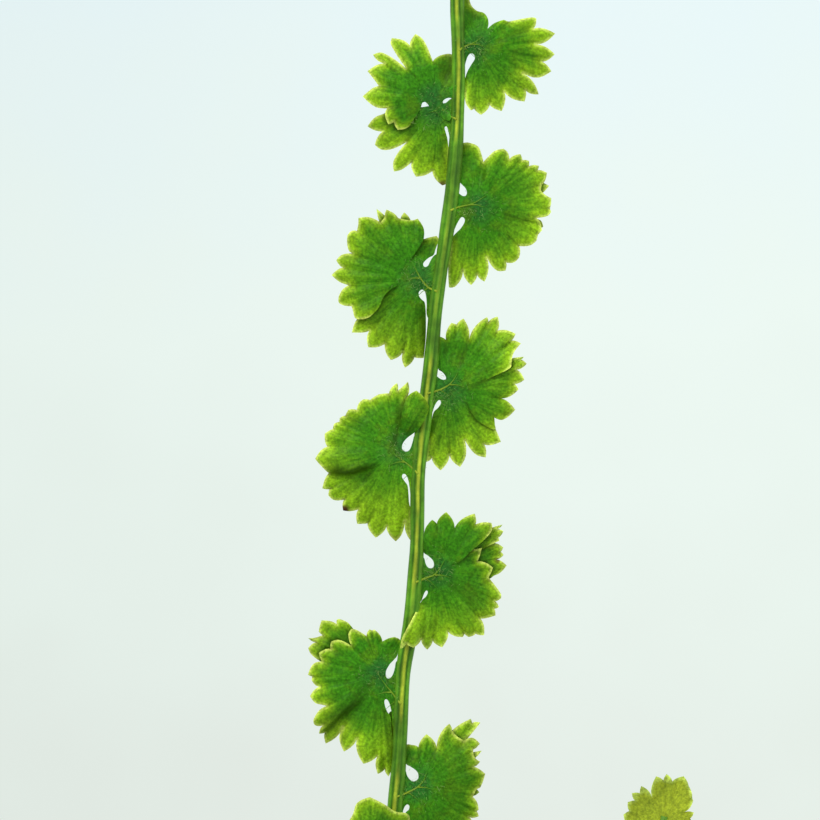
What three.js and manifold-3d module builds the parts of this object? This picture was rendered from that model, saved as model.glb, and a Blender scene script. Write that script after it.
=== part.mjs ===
// A tatting fern in a plain clay pot: narrow fronds that carry small fan-shaped leaflets (pinnae), set in
// turn left and right along a thin stalk (rachis). Millimetres, +Z up, the origin in the middle of the
// pot's flat underside. The tallest frond stands at the back of the crown and shows its upper face towards
// -Y. Every frond is one grown piece: its stalk and its pinnae are fused.
import * as THREE from "three";
import { mergeVertices } from "three/addons/utils/BufferGeometryUtils.js";
import Module from "manifold-3d";

const wasm = await Module();
wasm.setup();

// Driving dimensions, in millimetres and degrees.
const GAP = 0.3; // clearance between pieces that rest on each other
const POT = {
  height: 100,
  baseRadius: 40,
  shoulderRadius: 51, // outside, under the rim band
  rimRadius: 57,
  rimHeight: 22,
  wall: 4.5,
  floor: 6,
  edge: 1.5, // how far corners are taken off
  drainRadius: 4,
  drainCircle: 18,
  drainCount: 3,
  sides: 32,
};
const SOIL = { top: 86, wallGap: 0.5, sides: 24, lump: 1.0, rings: [0.9, 0.75, 0.6, 0.46] };
const CROWN = {
  radius: 17,
  bottom: 66,
  shoulder: 90, // where its upright side ends and the dome begins
  top: 99,
  sides: 15,
  stubCircle: 12.5,
  stubs: [14, 124, 168, 208, 251, 296, 335], // compass headings of the stubs of old stalks
  stub: { tip: 0.9, foot: 1.7, length: [11, 4], lean: [0.7, 0.2] }, // radii; least length and lean, and range
};
const FOOT = { z: 86, straight: 22, bare: 42 }; // where stalks begin, and their straight and bare lengths
const RACHIS = { foot: 1.55, middle: 0.98, tip: 0.44, middleAt: 0.45, sides: 5, step: 28, fineStep: 11 };
const BLADE = 0.64; // thickness of a pinna
const PINNA = {
  pitch: 12.9, // along the stalk from one full-sized pinna to the next, on the other side
  stem: 3.1, // from the stalk's middle out to the hub that the veins spread from
  drop: 0.5, // how far below the hub the little stalk starts
  stalkHalf: 0.85, // half the height of the little stalk where it joins
  leastHalf: 0.45,
  upReach: 7.3,
  outReach: 9.2,
  downReach: 9.9,
  innerBearing: 98, // bearing of the tooth nearest the stalk
  notch: 0.84, // depth of the cut between teeth, as a share of their reach
  dome: 0.15, // how far the hub stands proud
  droop: 1.0, // how far the rim falls back at full reach
  ruffle: 0.6, // how far it waves in and out there
  tilt: 16, // range of leans along the stalk
  spread: [2, 16], // least angle out of the frond's plane, and its range
};
const TEETH = [[0.8, 5], [0.5, 4], [0, 3]]; // least size of pinna for each number of teeth
const END_FAN = { size: 0.36, teeth: 5, back: 1.4, rise: 0.5, narrow: 0.35 }; // the fan that ends a frond
const GROWTH = { least: 0.55, from: 0.08, full: 0.42, fadeFrom: 0.7, fadeTo: 1.05, tip: 0.2 };

// The middle of the upright stretch of the tallest frond whose pinnae are drawn tooth by tooth.
const SECTION = { x: 10, z: 303 };

// The tallest stalk over that stretch: [right, up] from the section's middle.
const SECTION_STALK = [
  [-2.0, -51.25], [-1.4, -43.75], [-0.95, -33], [-0.05, -27.1], [0.75, -17.5], [1.15, -8], [2.05, 1.25],
  [3.45, 13.75], [4.9, 25], [5.5, 30], [5.94, 36.25], [6.06, 43.75], [5.9, 51.25],
];

// The same stalk below and above the stretch as [height, right], and all of it as [height, back].
const TALL = {
  below: [[86, 1.5], [106, 2.0], [150, 3.6], [200, 5.6], [232, 7.0]],
  above: [[372, 16.2], [394, 16.7], [416, 17.6], [444, 20]],
  back: [[86, 9], [106, 9.6], [150, 11.4], [200, 13.6], [252, 14.6], [354, 15.5], [374, 16.8], [394, 20],
    [416, 26.5], [432, 34], [444, 42]],
  lowPinnae: { from: 136, to: 239, size: 0.98, seed: 50, firstSide: 1, extraTeeth: 2 },
  highPinnae: { from: 365.5, to: 442, size: 1, seed: 80, firstSide: -1, extraTeeth: 2 },
};

// The stretch's ten pinnae, top to bottom. hub is [right, up] from the section's middle. Each fan's
// outline goes from the cut above the little stalk round to the cut below it, in turn notch, tooth tip,
// notch: [bearing, reach] with 0 degrees pointing away from the stalk and 90 towards the frond's tip. lift
// moves a fan towards the viewer, and drop is how far below the hub the little stalk starts.
const SECTION_PINNAE = [
  {
    side: 1, hub: [8.5, 45.25], drop: -0.4,
    fans: [
      { lift: 0, outline: [
        [142, 1.8], [104, 6.6], [96, 5.0], [83, 4.6], [63, 2.7], [48, 4.85], [41, 5.1], [28, 8.2],
        [20, 7.4], [11.4, 9.8], [4.6, 7.3], [-3.5, 9.6], [-10.6, 8.2], [-16.3, 9.6], [-28, 6.5],
        [-36, 9.4], [-40.4, 7.9], [-48, 8.7], [-58.3, 6.4], [-68.8, 8.3], [-78, 7.1], [-87.3, 8.3],
        [-93.5, 7.5], [-96.5, 7.8], [-104, 6.7], [-113, 3.9], [-127, 1.3]
      ] },
    ],
  },
  {
    side: -1, hub: [3.25, 37.5], drop: 1.0,
    fans: [
      { lift: 0.5, outline: [
        [136, 1.8], [119.7, 4.3], [107.6, 7.1], [102.3, 7.3], [85.1, 6.1], [75, 9.9], [68, 8.7],
        [59, 10.6], [54.3, 6.4], [42, 10.6], [41, 8.6], [30, 9.9], [24, 7.7], [10, 9.3], [1, 6.1],
        [-12, 6.4], [-17, 5.5], [-26, 5.6], [-40, 1.2]
      ] },
      { lift: -0.3, outline: [
        [40, 1.2], [-4, 7.0], [-8, 6.9], [-14, 8.8], [-20.8, 7.4], [-30, 8.6], [-46, 5.3], [-54.5, 9.1],
        [-64.3, 6.9], [-73.5, 8.4], [-85.6, 7.3], [-94.5, 9.4], [-101, 8.8], [-106.5, 5.6], [-115, 2.2]
      ] },
    ],
  },
  {
    side: 1, hub: [8.375, 25.25], drop: 0.75,
    fans: [
      { lift: 0, outline: [
        [132, 2.0], [126.6, 3.6], [106, 7.9], [98, 8.35], [82, 5.9], [66, 8.15], [56.6, 7.4],
        [51.4, 8.7], [46.7, 8.3], [42.5, 8.85], [39.3, 8.4], [34.7, 9.5], [32.6, 9.0], [27.3, 9.9],
        [20.4, 8.7], [18, 9.5], [16.5, 7.2], [8.2, 9.4], [0.5, 9.1], [-2.6, 9.3], [-9, 7.55],
        [-18.4, 8.6], [-23.3, 8.2], [-28.6, 8.5], [-41.8, 7.1], [-49.4, 8.1], [-61.4, 7.6],
        [-65.2, 8.5], [-78.4, 6.3], [-84, 9.1], [-89.6, 8.3], [-94.2, 9.5], [-102, 8.1], [-107, 10.3],
        [-116.8, 7.9], [-128, 5.1], [-140, 2.1]
      ] },
    ],
  },
  {
    side: -1, hub: [1.0, 16.25], drop: 1.0,
    fans: [
      { lift: 0.5, outline: [
        [115, 1.9], [122.8, 3.5], [116, 5.8], [109, 5.9], [97.8, 5.2], [89.6, 7.7], [85, 7.4],
        [78.2, 8.75], [72.3, 8.2], [67.6, 9.4], [63, 9.2], [59.8, 10.3], [55, 9.2], [46.3, 10.7],
        [40.8, 9.8], [33, 10.4], [23, 8.8], [14.3, 10.6], [9.7, 9.8], [4, 10.9], [-3.9, 8.7],
        [-12, 10.3], [-24.7, 8.9], [-30, 9.1], [-36, 6.2], [-37, 5.4], [-42, 1.2]
      ] },
      { lift: -0.3, outline: [
        [10, 1.2], [-30, 8.4], [-33, 8.3], [-38.2, 10.5], [-45.9, 8.9], [-54, 10.4], [-62, 8.2],
        [-72, 10.5], [-77.5, 9.2], [-81.4, 11.0], [-88.2, 9.5], [-93, 9.7], [-97, 7.1], [-104, 3.6],
        [-112, 1.5]
      ] },
    ],
  },
  {
    side: 1, hub: [4.875, 2.25], drop: 1.0,
    fans: [
      { lift: 0, outline: [
        [112, 1.8], [115.7, 3.0], [99, 7.0], [93, 6.5], [88, 8.6], [83.4, 8.4], [78, 9.35], [69, 6.9],
        [63, 10.5], [60.6, 10], [57, 11.2], [51.6, 9.8], [41, 11], [39, 10.1], [34, 10.8], [29, 9.2],
        [25.2, 10.2], [23.5, 9.8], [20, 10.3], [16, 8.6], [9.2, 9.5], [6, 8.3], [1.5, 8.7], [-7, 6.6],
        [-15, 8.6], [-29.4, 6.6], [-43, 9.0], [-56, 7.9], [-60.6, 9.4], [-70.4, 7.7], [-81.5, 9.4],
        [-89.4, 7.9], [-96, 9.8], [-104, 8.5], [-108, 9.2], [-114, 6.5], [-126, 3.4], [-134, 1.7]
      ] },
    ],
  },
  {
    side: -1, hub: [-1.5, -4.75], drop: 2.1,
    fans: [
      { lift: 0.2, outline: [
        [129, 1.3], [138, 2.8], [130, 6.0], [118, 7.0], [108, 7.5], [100, 6.4], [97, 8.4], [92, 7.1],
        [89, 8.0], [82, 6.9], [78, 7.1], [74, 6.7], [68, 7.2], [61, 6.7], [52, 7.6], [42, 7.0],
        [37, 7.9], [29.7, 7.7], [23.5, 8.4], [17, 8.3], [12, 9.3], [0.5, 8.6], [-7, 10.4], [-19.7, 9.0],
        [-28.4, 10.8], [-32, 10.1], [-36, 10.5], [-43.7, 9.3], [-49, 10.5], [-56, 9.3], [-62, 10.7],
        [-67.6, 10.0], [-75.6, 11.6], [-80.5, 9.9], [-88.5, 11.7], [-95.4, 9.3], [-99, 11.9],
        [-102, 8.1], [-104.5, 5.6], [-101, 3.3]
      ] },
    ],
  },
  {
    side: 1, hub: [3.375, -20.125], drop: 1.1,
    fans: [
      { lift: 0, outline: [
        [102, 1.8], [122, 2.8], [107, 5.3], [96, 6.4], [90.3, 5.8], [81, 7.5], [68, 5.8], [57, 8.6],
        [50.4, 7.5], [42, 9.0], [36, 8.8], [34, 10.0], [32, 9.1], [30, 9.7], [25.6, 8.0], [16, 8.9],
        [10.3, 7.6], [4, 8.8], [-7.6, 7.0], [-20, 8.6], [-27.7, 8.5], [-34, 9.2], [-47.7, 8.0],
        [-53.8, 9.9], [-60, 9.1], [-67, 9.0], [-79.6, 7.7], [-86, 9.7], [-93.5, 8.7], [-97, 9.9],
        [-103, 8.7], [-108, 9.8], [-115.5, 10.6], [-118, 6.7], [-117, 4.4], [-114, 2.7]
      ] },
    ],
  },
  {
    side: -1, hub: [-3.75, -33.0], drop: 2.0,
    fans: [
      { lift: 0.2, outline: [
        [133, 1.4], [134.4, 3.1], [122.5, 4.8], [111.4, 4.9], [93.5, 4.0], [80, 5.7], [71, 5.1],
        [60, 7.4], [57, 7.2], [53, 8.6], [47.2, 8.3], [42, 9.8], [33, 8.5], [25.4, 10.0], [24, 8.9],
        [18.5, 9.5], [13.8, 7.8], [-0.5, 9.0], [-3, 8.5], [-7.4, 8.5], [-11.8, 7.8], [-18.5, 9.2],
        [-30.6, 7.8], [-36.5, 10.5], [-43, 9.5], [-44.6, 10.7], [-47, 10.1], [-52, 11.1], [-55.2, 8.2],
        [-65, 10.6], [-71, 8.7], [-79.5, 11.4], [-87.8, 10.3], [-89.5, 12.6], [-92.9, 11.9],
        [-95.3, 12.9], [-98, 10.0], [-103.4, 6.4], [-103, 3.2]
      ] },
    ],
  },
  {
    side: 1, hub: [1.0, -47.0], drop: 1.1,
    fans: [
      { lift: 0, outline: [
        [94, 1.9], [118, 2.9], [106, 5.2], [98, 5.1], [89.4, 4.8], [80.6, 6.5], [64, 5.3], [62, 8.6],
        [57.8, 8.2], [51.2, 10.5], [48.4, 10.3], [44.6, 10.9], [43, 8.4], [36, 9.3], [33, 8.2],
        [28.4, 9.0], [25, 8.1], [21.5, 8.3], [18.7, 7.4], [8, 8.5], [0, 7.8], [-6.4, 7.6], [-11.8, 7.0],
        [-24, 8.5], [-32, 7.6], [-39, 8.9], [-46, 7.8], [-54, 9.2], [-61, 7.9], [-69, 9.3], [-77, 7.9],
        [-85, 9.6], [-93, 8.4], [-102, 9.9], [-112, 7.0], [-122, 4.0], [-128, 1.9]
      ] },
    ],
  },
  {
    side: -1, hub: [-5.0, -59.25], drop: 2.0,
    fans: [
      { lift: 0.2, outline: [
        [140, 1.6], [119, 10.2], [108, 9.8], [100, 10.3], [90, 10.9], [80, 10.0], [76, 8.6], [66, 8.8],
        [58, 7.4], [47, 8.8], [39, 7.7], [28, 9.2], [20, 7.9], [11, 9.4], [3, 8.2], [-7, 9.6],
        [-15, 8.1], [-25, 9.8], [-33, 8.5], [-43, 10.0], [-51, 8.7], [-61, 10.4], [-69, 8.8],
        [-79, 10.9], [-87, 9.4], [-96, 11.2], [-101, 7.0], [-104, 2.8]
      ] },
    ],
  },
];

// The other fronds. heading is the compass direction they lean to (0 is +X, 90 is +Y), foot how far from
// the crown's middle they begin, lean and tip their angles off the upright at foot and tip, curl how
// late the bend comes, turn how far the heading drifts, twist how far the upper face turns about the
// stalk, size the scale of their pinnae, and end that of the fan at the tip.
const FRONDS = [
  { heading: 352, foot: 9, lean: 7.4, length: 171.4, tip: 14.6, curl: 1, turn: 0, twist: -78, size: 0.84,
    end: 0.62 },
  { heading: 36, foot: 11, lean: 21, length: 288, tip: 106, curl: 1.7, turn: -14, twist: 24, size: 0.98 },
  { heading: 100, foot: 13.5, lean: 30, length: 226, tip: 118, curl: 1.4, turn: -8, twist: -10, size: 0.92 },
  { heading: 148, foot: 11, lean: 24, length: 268, tip: 112, curl: 1.6, turn: 10, twist: -22, size: 0.96 },
  { heading: 188, foot: 11, lean: 16, length: 290, tip: 100, curl: 1.9, turn: -8, twist: 26, size: 1.0 },
  { heading: 228, foot: 12, lean: 31, length: 240, tip: 118, curl: 1.4, turn: 10, twist: 16, size: 0.94 },
  { heading: 274, foot: 11, lean: 26, length: 246, tip: 114, curl: 1.5, turn: 8, twist: -12, size: 0.95 },
  { heading: 318, foot: 11, lean: 24, length: 272, tip: 108, curl: 1.7, turn: 8, twist: -20, size: 0.98 },
];

const UP = new THREE.Vector3(0, 0, 1);
const { degToRad: rad, radToDeg: deg, lerp, smoothstep, clamp } = THREE.MathUtils;

// The level direction of a compass heading.
function compass(heading) {
  return new THREE.Vector3(Math.cos(rad(heading)), Math.sin(rad(heading)), 0);
}

// A repeatable draw from 0 to 1 for each whole number.
function draw(n) {
  const wave = Math.sin(n * 12.9898 + 4.137) * 43758.5453;
  return wave - Math.floor(wave);
}

// A three.js geometry as a manifold-3d solid.
function solid(geometry) {
  geometry.deleteAttribute("normal");
  geometry.deleteAttribute("uv");
  const merged = mergeVertices(geometry, 1e-4);
  return new wasm.Manifold(
    new wasm.Mesh({
      numProp: 3,
      vertProperties: new Float32Array(merged.attributes.position.array),
      triVerts: new Uint32Array(merged.index.array),
    }),
  );
}

// A manifold-3d solid as a named mesh with its material.
function piece(name, made, material) {
  const mesh = made.getMesh();
  const geometry = new THREE.BufferGeometry();
  geometry.setAttribute("position", new THREE.BufferAttribute(new Float32Array(mesh.vertProperties), 3));
  geometry.setIndex(new THREE.BufferAttribute(new Uint32Array(mesh.triVerts), 1));
  geometry.computeVertexNormals();
  const result = new THREE.Mesh(geometry, material);
  result.name = name;
  return result;
}

// Points and triangles as a solid.
function solidOf(points, triangles) {
  const geometry = new THREE.BufferGeometry();
  const places = points.flatMap((point) => point.toArray());
  geometry.setAttribute("position", new THREE.Float32BufferAttribute(places, 3));
  geometry.setIndex(triangles.flat());
  return solid(geometry);
}

// A turned solid from a profile of [radius, height].
function turned(profile, sides) {
  const points = profile.map(([radius, height]) => new THREE.Vector2(radius, height));
  return new THREE.LatheGeometry(points, sides).rotateX(Math.PI / 2);
}

// A closed bar through stations of { point, right, normal, radius }, with one edge along its upper face.
function bar(stations) {
  const { sides } = RACHIS;
  const points = [];
  const triangles = [];
  for (const { point, right, normal, radius } of stations) {
    for (let i = 0; i < sides; i++) {
      const turn = Math.PI * (0.5 + (2 * i) / sides);
      const across = right.clone().multiplyScalar(radius * Math.cos(turn));
      points.push(across.add(point).addScaledVector(normal, radius * Math.sin(turn)));
    }
  }
  const last = stations.length - 1;
  const firstCentre = points.push(stations[0].point.clone()) - 1;
  const lastCentre = points.push(stations[last].point.clone()) - 1;
  for (let i = 0; i < sides; i++) {
    const next = (i + 1) % sides;
    triangles.push([firstCentre, i, next]);
    triangles.push([lastCentre, last * sides + next, last * sides + i]);
    for (let s = 0; s < last; s++) {
      const low = s * sides;
      const high = low + sides;
      triangles.push([low + i, high + i, high + next], [low + i, high + next, low + next]);
    }
  }
  return solidOf(points, triangles);
}

// A thin blade round a hub: each outline point is { bearing, reach, lift } in the axes out, up and face.
// The same triangles split both faces, so that they never cross.
function blade(hub, axes, outline, hubLift) {
  const at = (bearing, reach, lift) =>
    hub
      .clone()
      .addScaledVector(axes.out, reach * Math.cos(rad(bearing)))
      .addScaledVector(axes.up, reach * Math.sin(rad(bearing)))
      .addScaledVector(axes.face, lift);
  const upper = outline.map((p) => at(p.bearing, p.reach, p.lift + BLADE / 2));
  const under = outline.map((p) => at(p.bearing, p.reach, p.lift - BLADE / 2));
  const points = [...upper, ...under, at(0, 0, hubLift + BLADE / 2), at(0, 0, hubLift - BLADE / 2)];
  const count = outline.length;
  const triangles = [];
  for (let i = 0; i < count; i++) {
    const next = (i + 1) % count;
    triangles.push([2 * count, next, i], [2 * count + 1, count + i, count + next]);
    triangles.push([i, next, count + next], [i, count + next, count + i]);
  }
  // Seen from its upper face, out is to the right of up on one side of the frond and to its left on the
  // other.
  const rightHanded = new THREE.Vector3().crossVectors(axes.out, axes.up).dot(axes.face) > 0;
  return solidOf(points, rightHanded ? triangles : triangles.map(([a, b, c]) => [a, c, b]));
}

// How far a fan's surface stands off its plane: the rim falls back, and waves in and out round the fan.
function fanLift(bearing, reach, size, phase) {
  const share = reach / (PINNA.outReach * size);
  return size * share * share * (PINNA.ruffle * Math.sin(3 * rad(bearing) + phase) - PINNA.droop);
}

// The two points where a pinna's little stalk meets the frond's stalk, which lies stem out of the hub.
function stalkRoot(stem, drop, half) {
  return [-half, half].map((offset) => ({
    bearing: deg(Math.atan2(offset - drop, -stem)),
    reach: Math.hypot(stem, offset - drop),
    lift: 0,
  }));
}

// A drawn pinna of the section, as one solid for each of its fans.
function sectionPinna(pinna, index, stalkAt) {
  const [right, up] = pinna.hub;
  const height = SECTION.z + up;
  const hub = new THREE.Vector3(SECTION.x + right, stalkAt(height).y, height);
  const axes = { out: new THREE.Vector3(pinna.side, 0, 0), up: UP, face: new THREE.Vector3(0, -1, 0) };
  const stem = Math.abs(hub.x - stalkAt(height - pinna.drop).x);
  const phase = 1.7 * index;
  return pinna.fans.map((fan) => {
    const rim = fan.outline.map(([bearing, reach]) => ({
      bearing,
      reach,
      lift: fan.lift * Math.min(1, reach / 4) + fanLift(bearing, reach, 1, phase),
    }));
    return blade(hub, axes, [...rim, ...stalkRoot(stem, pinna.drop, PINNA.stalkHalf)], PINNA.dome);
  });
}

// The outline of a pinna of the common form, with as many teeth as its size can show.
function commonOutline(size, seed, teeth) {
  const { upReach, outReach, downReach, innerBearing } = PINNA;
  const step = (2 * innerBearing) / (teeth - 1);
  const outline = [];
  for (let i = 0; i < teeth; i++) {
    const bearing = innerBearing - i * step;
    const slope = Math.sin(rad(bearing));
    const round = lerp(outReach, slope > 0 ? upReach : downReach, Math.abs(slope));
    const reach = size * round * (0.94 + 0.12 * draw(seed + i));
    if (i > 0) outline.push([bearing + step / 2, reach * (PINNA.notch - 0.1 * draw(seed + i + 40))]);
    outline.push([bearing + step * 0.12 * (draw(seed + i + 70) - 0.5), reach]);
  }
  return outline;
}

// A pinna of the common form, standing off the stalk at a station.
function commonPinna(station, side, size, seed, teeth) {
  const tilt = rad(PINNA.tilt * (draw(seed + 90) - 0.5));
  const spread = rad(PINNA.spread[0] + PINNA.spread[1] * draw(seed + 92));
  const across = station.right.clone().multiplyScalar(side);
  const out = across.clone().multiplyScalar(Math.cos(spread));
  out.addScaledVector(station.normal, Math.sin(spread));
  const level = station.normal.clone().multiplyScalar(Math.cos(spread));
  level.addScaledVector(across, -Math.sin(spread));
  const up = station.tangent.clone().applyAxisAngle(out, tilt);
  const face = level.applyAxisAngle(out, tilt);
  const stem = PINNA.stem * size;
  const drop = PINNA.drop * size;
  const hub = station.point.clone().addScaledVector(out, stem).addScaledVector(up, drop);
  const phase = 6 * draw(seed + 91);
  const rim = commonOutline(size, seed, teeth).map(([bearing, reach]) => ({
    bearing,
    reach,
    lift: fanLift(bearing, reach, size, phase),
  }));
  const root = stalkRoot(stem, drop, Math.max(PINNA.stalkHalf * size, PINNA.leastHalf));
  return blade(hub, { out, up, face }, [...rim, ...root], PINNA.dome * size);
}

// The small fan that ends a frond, in line with its stalk and narrower than a pinna.
function endFan(stalk, size, seed) {
  const station = stalk.at(stalk.length - END_FAN.back);
  const hub = station.point.clone().addScaledVector(station.tangent, END_FAN.rise * size);
  const axes = { out: station.tangent, up: station.right.clone().negate(), face: station.normal };
  const rim = commonOutline(size, seed, END_FAN.teeth).map(([bearing, reach]) => ({
    bearing,
    reach: reach * (1 - END_FAN.narrow * Math.abs(Math.sin(rad(bearing)))),
    lift: fanLift(bearing, reach, size, 0),
  }));
  return blade(hub, axes, [...rim, ...stalkRoot(PINNA.stem * size, 0, PINNA.leastHalf)], 0);
}

// A frond's stalk: straight stretches of about step between stations along a path of close points. rightAt
// gives the direction to the right of its upper face.
class Stalk {
  constructor(path, step, rightAt) {
    const along = [0];
    for (let i = 1; i < path.length; i++) along.push(along[i - 1] + path[i].distanceTo(path[i - 1]));
    this.length = along.at(-1);
    const count = Math.round((this.length - FOOT.straight) / step);
    const marks = [0];
    for (let i = 0; i <= count; i++) marks.push(lerp(FOOT.straight, this.length, i / count));
    this.stations = marks.map((mark) => {
      const i = Math.max(1, along.findIndex((a) => a >= mark - 1e-6));
      const share = (mark - along[i - 1]) / (along[i] - along[i - 1]);
      const point = path[i - 1].clone().lerp(path[i], share);
      const tangent = path[i].clone().sub(path[i - 1]).normalize();
      return { along: mark, point, tangent, right: rightAt(mark / this.length, tangent) };
    });
  }

  radiusAt(along) {
    const share = along / this.length;
    const { foot, middle, tip, middleAt } = RACHIS;
    if (share < middleAt) return lerp(foot, middle, share / middleAt);
    return lerp(middle, tip, (share - middleAt) / (1 - middleAt));
  }

  // The station at one length, on the straight stretch that holds it.
  at(along) {
    const next = Math.max(1, this.stations.findIndex((s) => s.along >= along - 1e-6));
    const low = this.stations[next - 1];
    const high = this.stations[next];
    const share = (along - low.along) / (high.along - low.along);
    const tangent = low.tangent.clone().lerp(high.tangent, share).normalize();
    const right = low.right.clone().lerp(high.right, share);
    right.addScaledVector(tangent, -right.dot(tangent)).normalize();
    const normal = new THREE.Vector3().crossVectors(right, tangent);
    const point = low.point.clone().lerp(high.point, share);
    return { point, tangent, right, normal, radius: this.radiusAt(along) };
  }

  // The length at which a rising stalk reaches a height.
  alongAt(height) {
    const next = this.stations.findIndex((s) => s.point.z >= height);
    const low = this.stations[next - 1];
    const high = this.stations[next];
    return lerp(low.along, high.along, (height - low.point.z) / (high.point.z - low.point.z));
  }

  body() {
    return bar(this.stations.map((s) => this.at(s.along)));
  }

  // The straight socket that the foot stands in, with GAP all round it, open at the top.
  socket() {
    const clear = GAP / Math.cos(Math.PI / RACHIS.sides);
    const [start, end] = [0, FOOT.straight].map((along) => this.at(along));
    start.point.addScaledVector(start.tangent, -GAP);
    return bar([start, end].map((s) => ({ ...s, radius: s.radius + clear })));
  }
}

// The stalk of a leaning frond: straight at first, then bending over more and more.
function leaningStalk({ heading, foot, lean, length, tip, curl, turn, twist }) {
  const pathStep = 2;
  const headingAt = (share) => heading + turn * share;
  const path = [compass(heading).multiplyScalar(foot).setZ(FOOT.z)];
  for (let along = pathStep / 2; along < length; along += pathStep) {
    const bent = Math.max(0, (along - FOOT.straight) / (length - FOOT.straight));
    const angle = rad(lean + (tip - lean) * bent ** curl);
    const forward = compass(headingAt(bent)).multiplyScalar(Math.sin(angle));
    forward.addScaledVector(UP, Math.cos(angle));
    path.push(path.at(-1).clone().addScaledVector(forward, pathStep));
  }
  return new Stalk(path, RACHIS.step, (share, tangent) =>
    compass(headingAt(share) - 90).applyAxisAngle(tangent, rad(twist * smoothstep(share, 0.1, 0.5))),
  );
}

// A value that runs smoothly through a table of [height, value], at one height.
function through(table, height) {
  const last = table.length - 1;
  const i = clamp(table.findIndex(([z]) => z >= height), 1, last) - 1;
  const slope = (k) => {
    const before = table[Math.max(k - 1, 0)];
    const after = table[Math.min(k + 1, last)];
    return (after[1] - before[1]) / (after[0] - before[0]);
  };
  const [z0, v0] = table[i];
  const [z1, v1] = table[i + 1];
  const t = (height - z0) / (z1 - z0);
  const ends = v0 * (1 + 2 * t) * (1 - t) ** 2 + v1 * t * t * (3 - 2 * t);
  return ends + (z1 - z0) * (slope(i) * t * (1 - t) ** 2 - slope(i + 1) * t * t * (1 - t));
}

// The tallest stalk: up from the crown, through the drawn section, and on to a tip that nods back.
function tallStalk() {
  const drawn = SECTION_STALK.map(([right, up]) => [SECTION.z + up, SECTION.x + right]);
  const across = [...TALL.below, ...drawn, ...TALL.above];
  const [tip] = TALL.back.at(-1);
  const path = [];
  for (let z = FOOT.z; z <= tip; z += 1) {
    path.push(new THREE.Vector3(through(across, z), through(TALL.back, z), z));
  }
  return new Stalk(path, RACHIS.fineStep, () => new THREE.Vector3(1, 0, 0));
}

// How large the pinnae are along a frond: smaller at its foot, full for most of it, tiny at its tip.
function pinnaSize(share) {
  const { least, from, full, fadeFrom, fadeTo, tip } = GROWTH;
  return lerp(least, 1, smoothstep(share, from, full)) * lerp(1, tip, smoothstep(share, fadeFrom, fadeTo));
}

// The common pinnae from one length of a stalk to another, in turn right and left.
function commonPinnae(stalk, { from, to, size, seed, firstSide, extraTeeth }) {
  const made = [];
  let side = firstSide;
  let along = from;
  for (let k = 0; along < to; k++) {
    const grown = size * pinnaSize(along / stalk.length);
    const teeth = TEETH.find(([least]) => grown > least)[1] + extraTeeth;
    made.push(commonPinna(stalk.at(along), side, grown, seed + 101 * k, teeth));
    along += (PINNA.pitch * (size + grown)) / 2;
    side = -side;
  }
  return made;
}

function leaningFrond(frond, index) {
  const stalk = leaningStalk(frond);
  const { size } = frond;
  const seed = 1000 * (index + 1);
  const firstSide = index % 2 ? 1 : -1;
  const to = stalk.length - 4 * size;
  const parts = [
    stalk.body(),
    ...commonPinnae(stalk, { from: FOOT.bare, to, size, seed, firstSide, extraTeeth: 0 }),
    endFan(stalk, frond.end ?? END_FAN.size, seed + 7),
  ];
  return { stalk, body: wasm.Manifold.union(parts) };
}

function tallFrond() {
  const stalk = tallStalk();
  const stalkAt = (height) => stalk.at(stalk.alongAt(height)).point;
  const stretch = ({ from, to, ...rest }) => ({ from: stalk.alongAt(from), to: stalk.alongAt(to), ...rest });
  const parts = [
    stalk.body(),
    ...SECTION_PINNAE.flatMap((pinna, i) => sectionPinna(pinna, i, stalkAt)),
    ...commonPinnae(stalk, stretch(TALL.lowPinnae)),
    ...commonPinnae(stalk, stretch(TALL.highPinnae)),
    endFan(stalk, END_FAN.size, 60),
  ];
  return { stalk, body: wasm.Manifold.union(parts) };
}

// A fired clay pot: tapered wall, thick rim band, flat floor with drain holes round its middle.
function pot() {
  const { height, baseRadius, shoulderRadius, rimRadius, rimHeight, wall, floor, edge, sides } = POT;
  const band = height - rimHeight;
  const shell = turned(
    [
      [0, 0], [baseRadius - edge, 0], [baseRadius, edge], [shoulderRadius, band],
      [rimRadius - edge, band], [rimRadius, band + edge], [rimRadius + 1, height - edge],
      [rimRadius + 1 - edge, height], [rimRadius - wall + edge, height], [rimRadius - wall, height - edge],
      [rimRadius - wall - 1, band], [shoulderRadius - wall, band - wall],
      [baseRadius - wall + 1, floor + edge], [baseRadius - wall - 1, floor], [0, floor],
    ],
    sides,
  );
  const holes = [];
  for (let i = 0; i < POT.drainCount; i++) {
    const place = compass(90 + (360 * i) / POT.drainCount).multiplyScalar(POT.drainCircle);
    const hole = new THREE.CylinderGeometry(POT.drainRadius, POT.drainRadius, 3 * floor, 10);
    holes.push(solid(hole.rotateX(Math.PI / 2).translate(place.x, place.y, 0)));
  }
  return solid(shell).subtract(wasm.Manifold.union(holes));
}

// A round peg from one height to another.
function peg(radius, bottom, top) {
  const shape = new THREE.CylinderGeometry(radius, radius, top - bottom, CROWN.sides).rotateX(Math.PI / 2);
  return solid(shape.translate(0, 0, (top + bottom) / 2));
}

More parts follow.
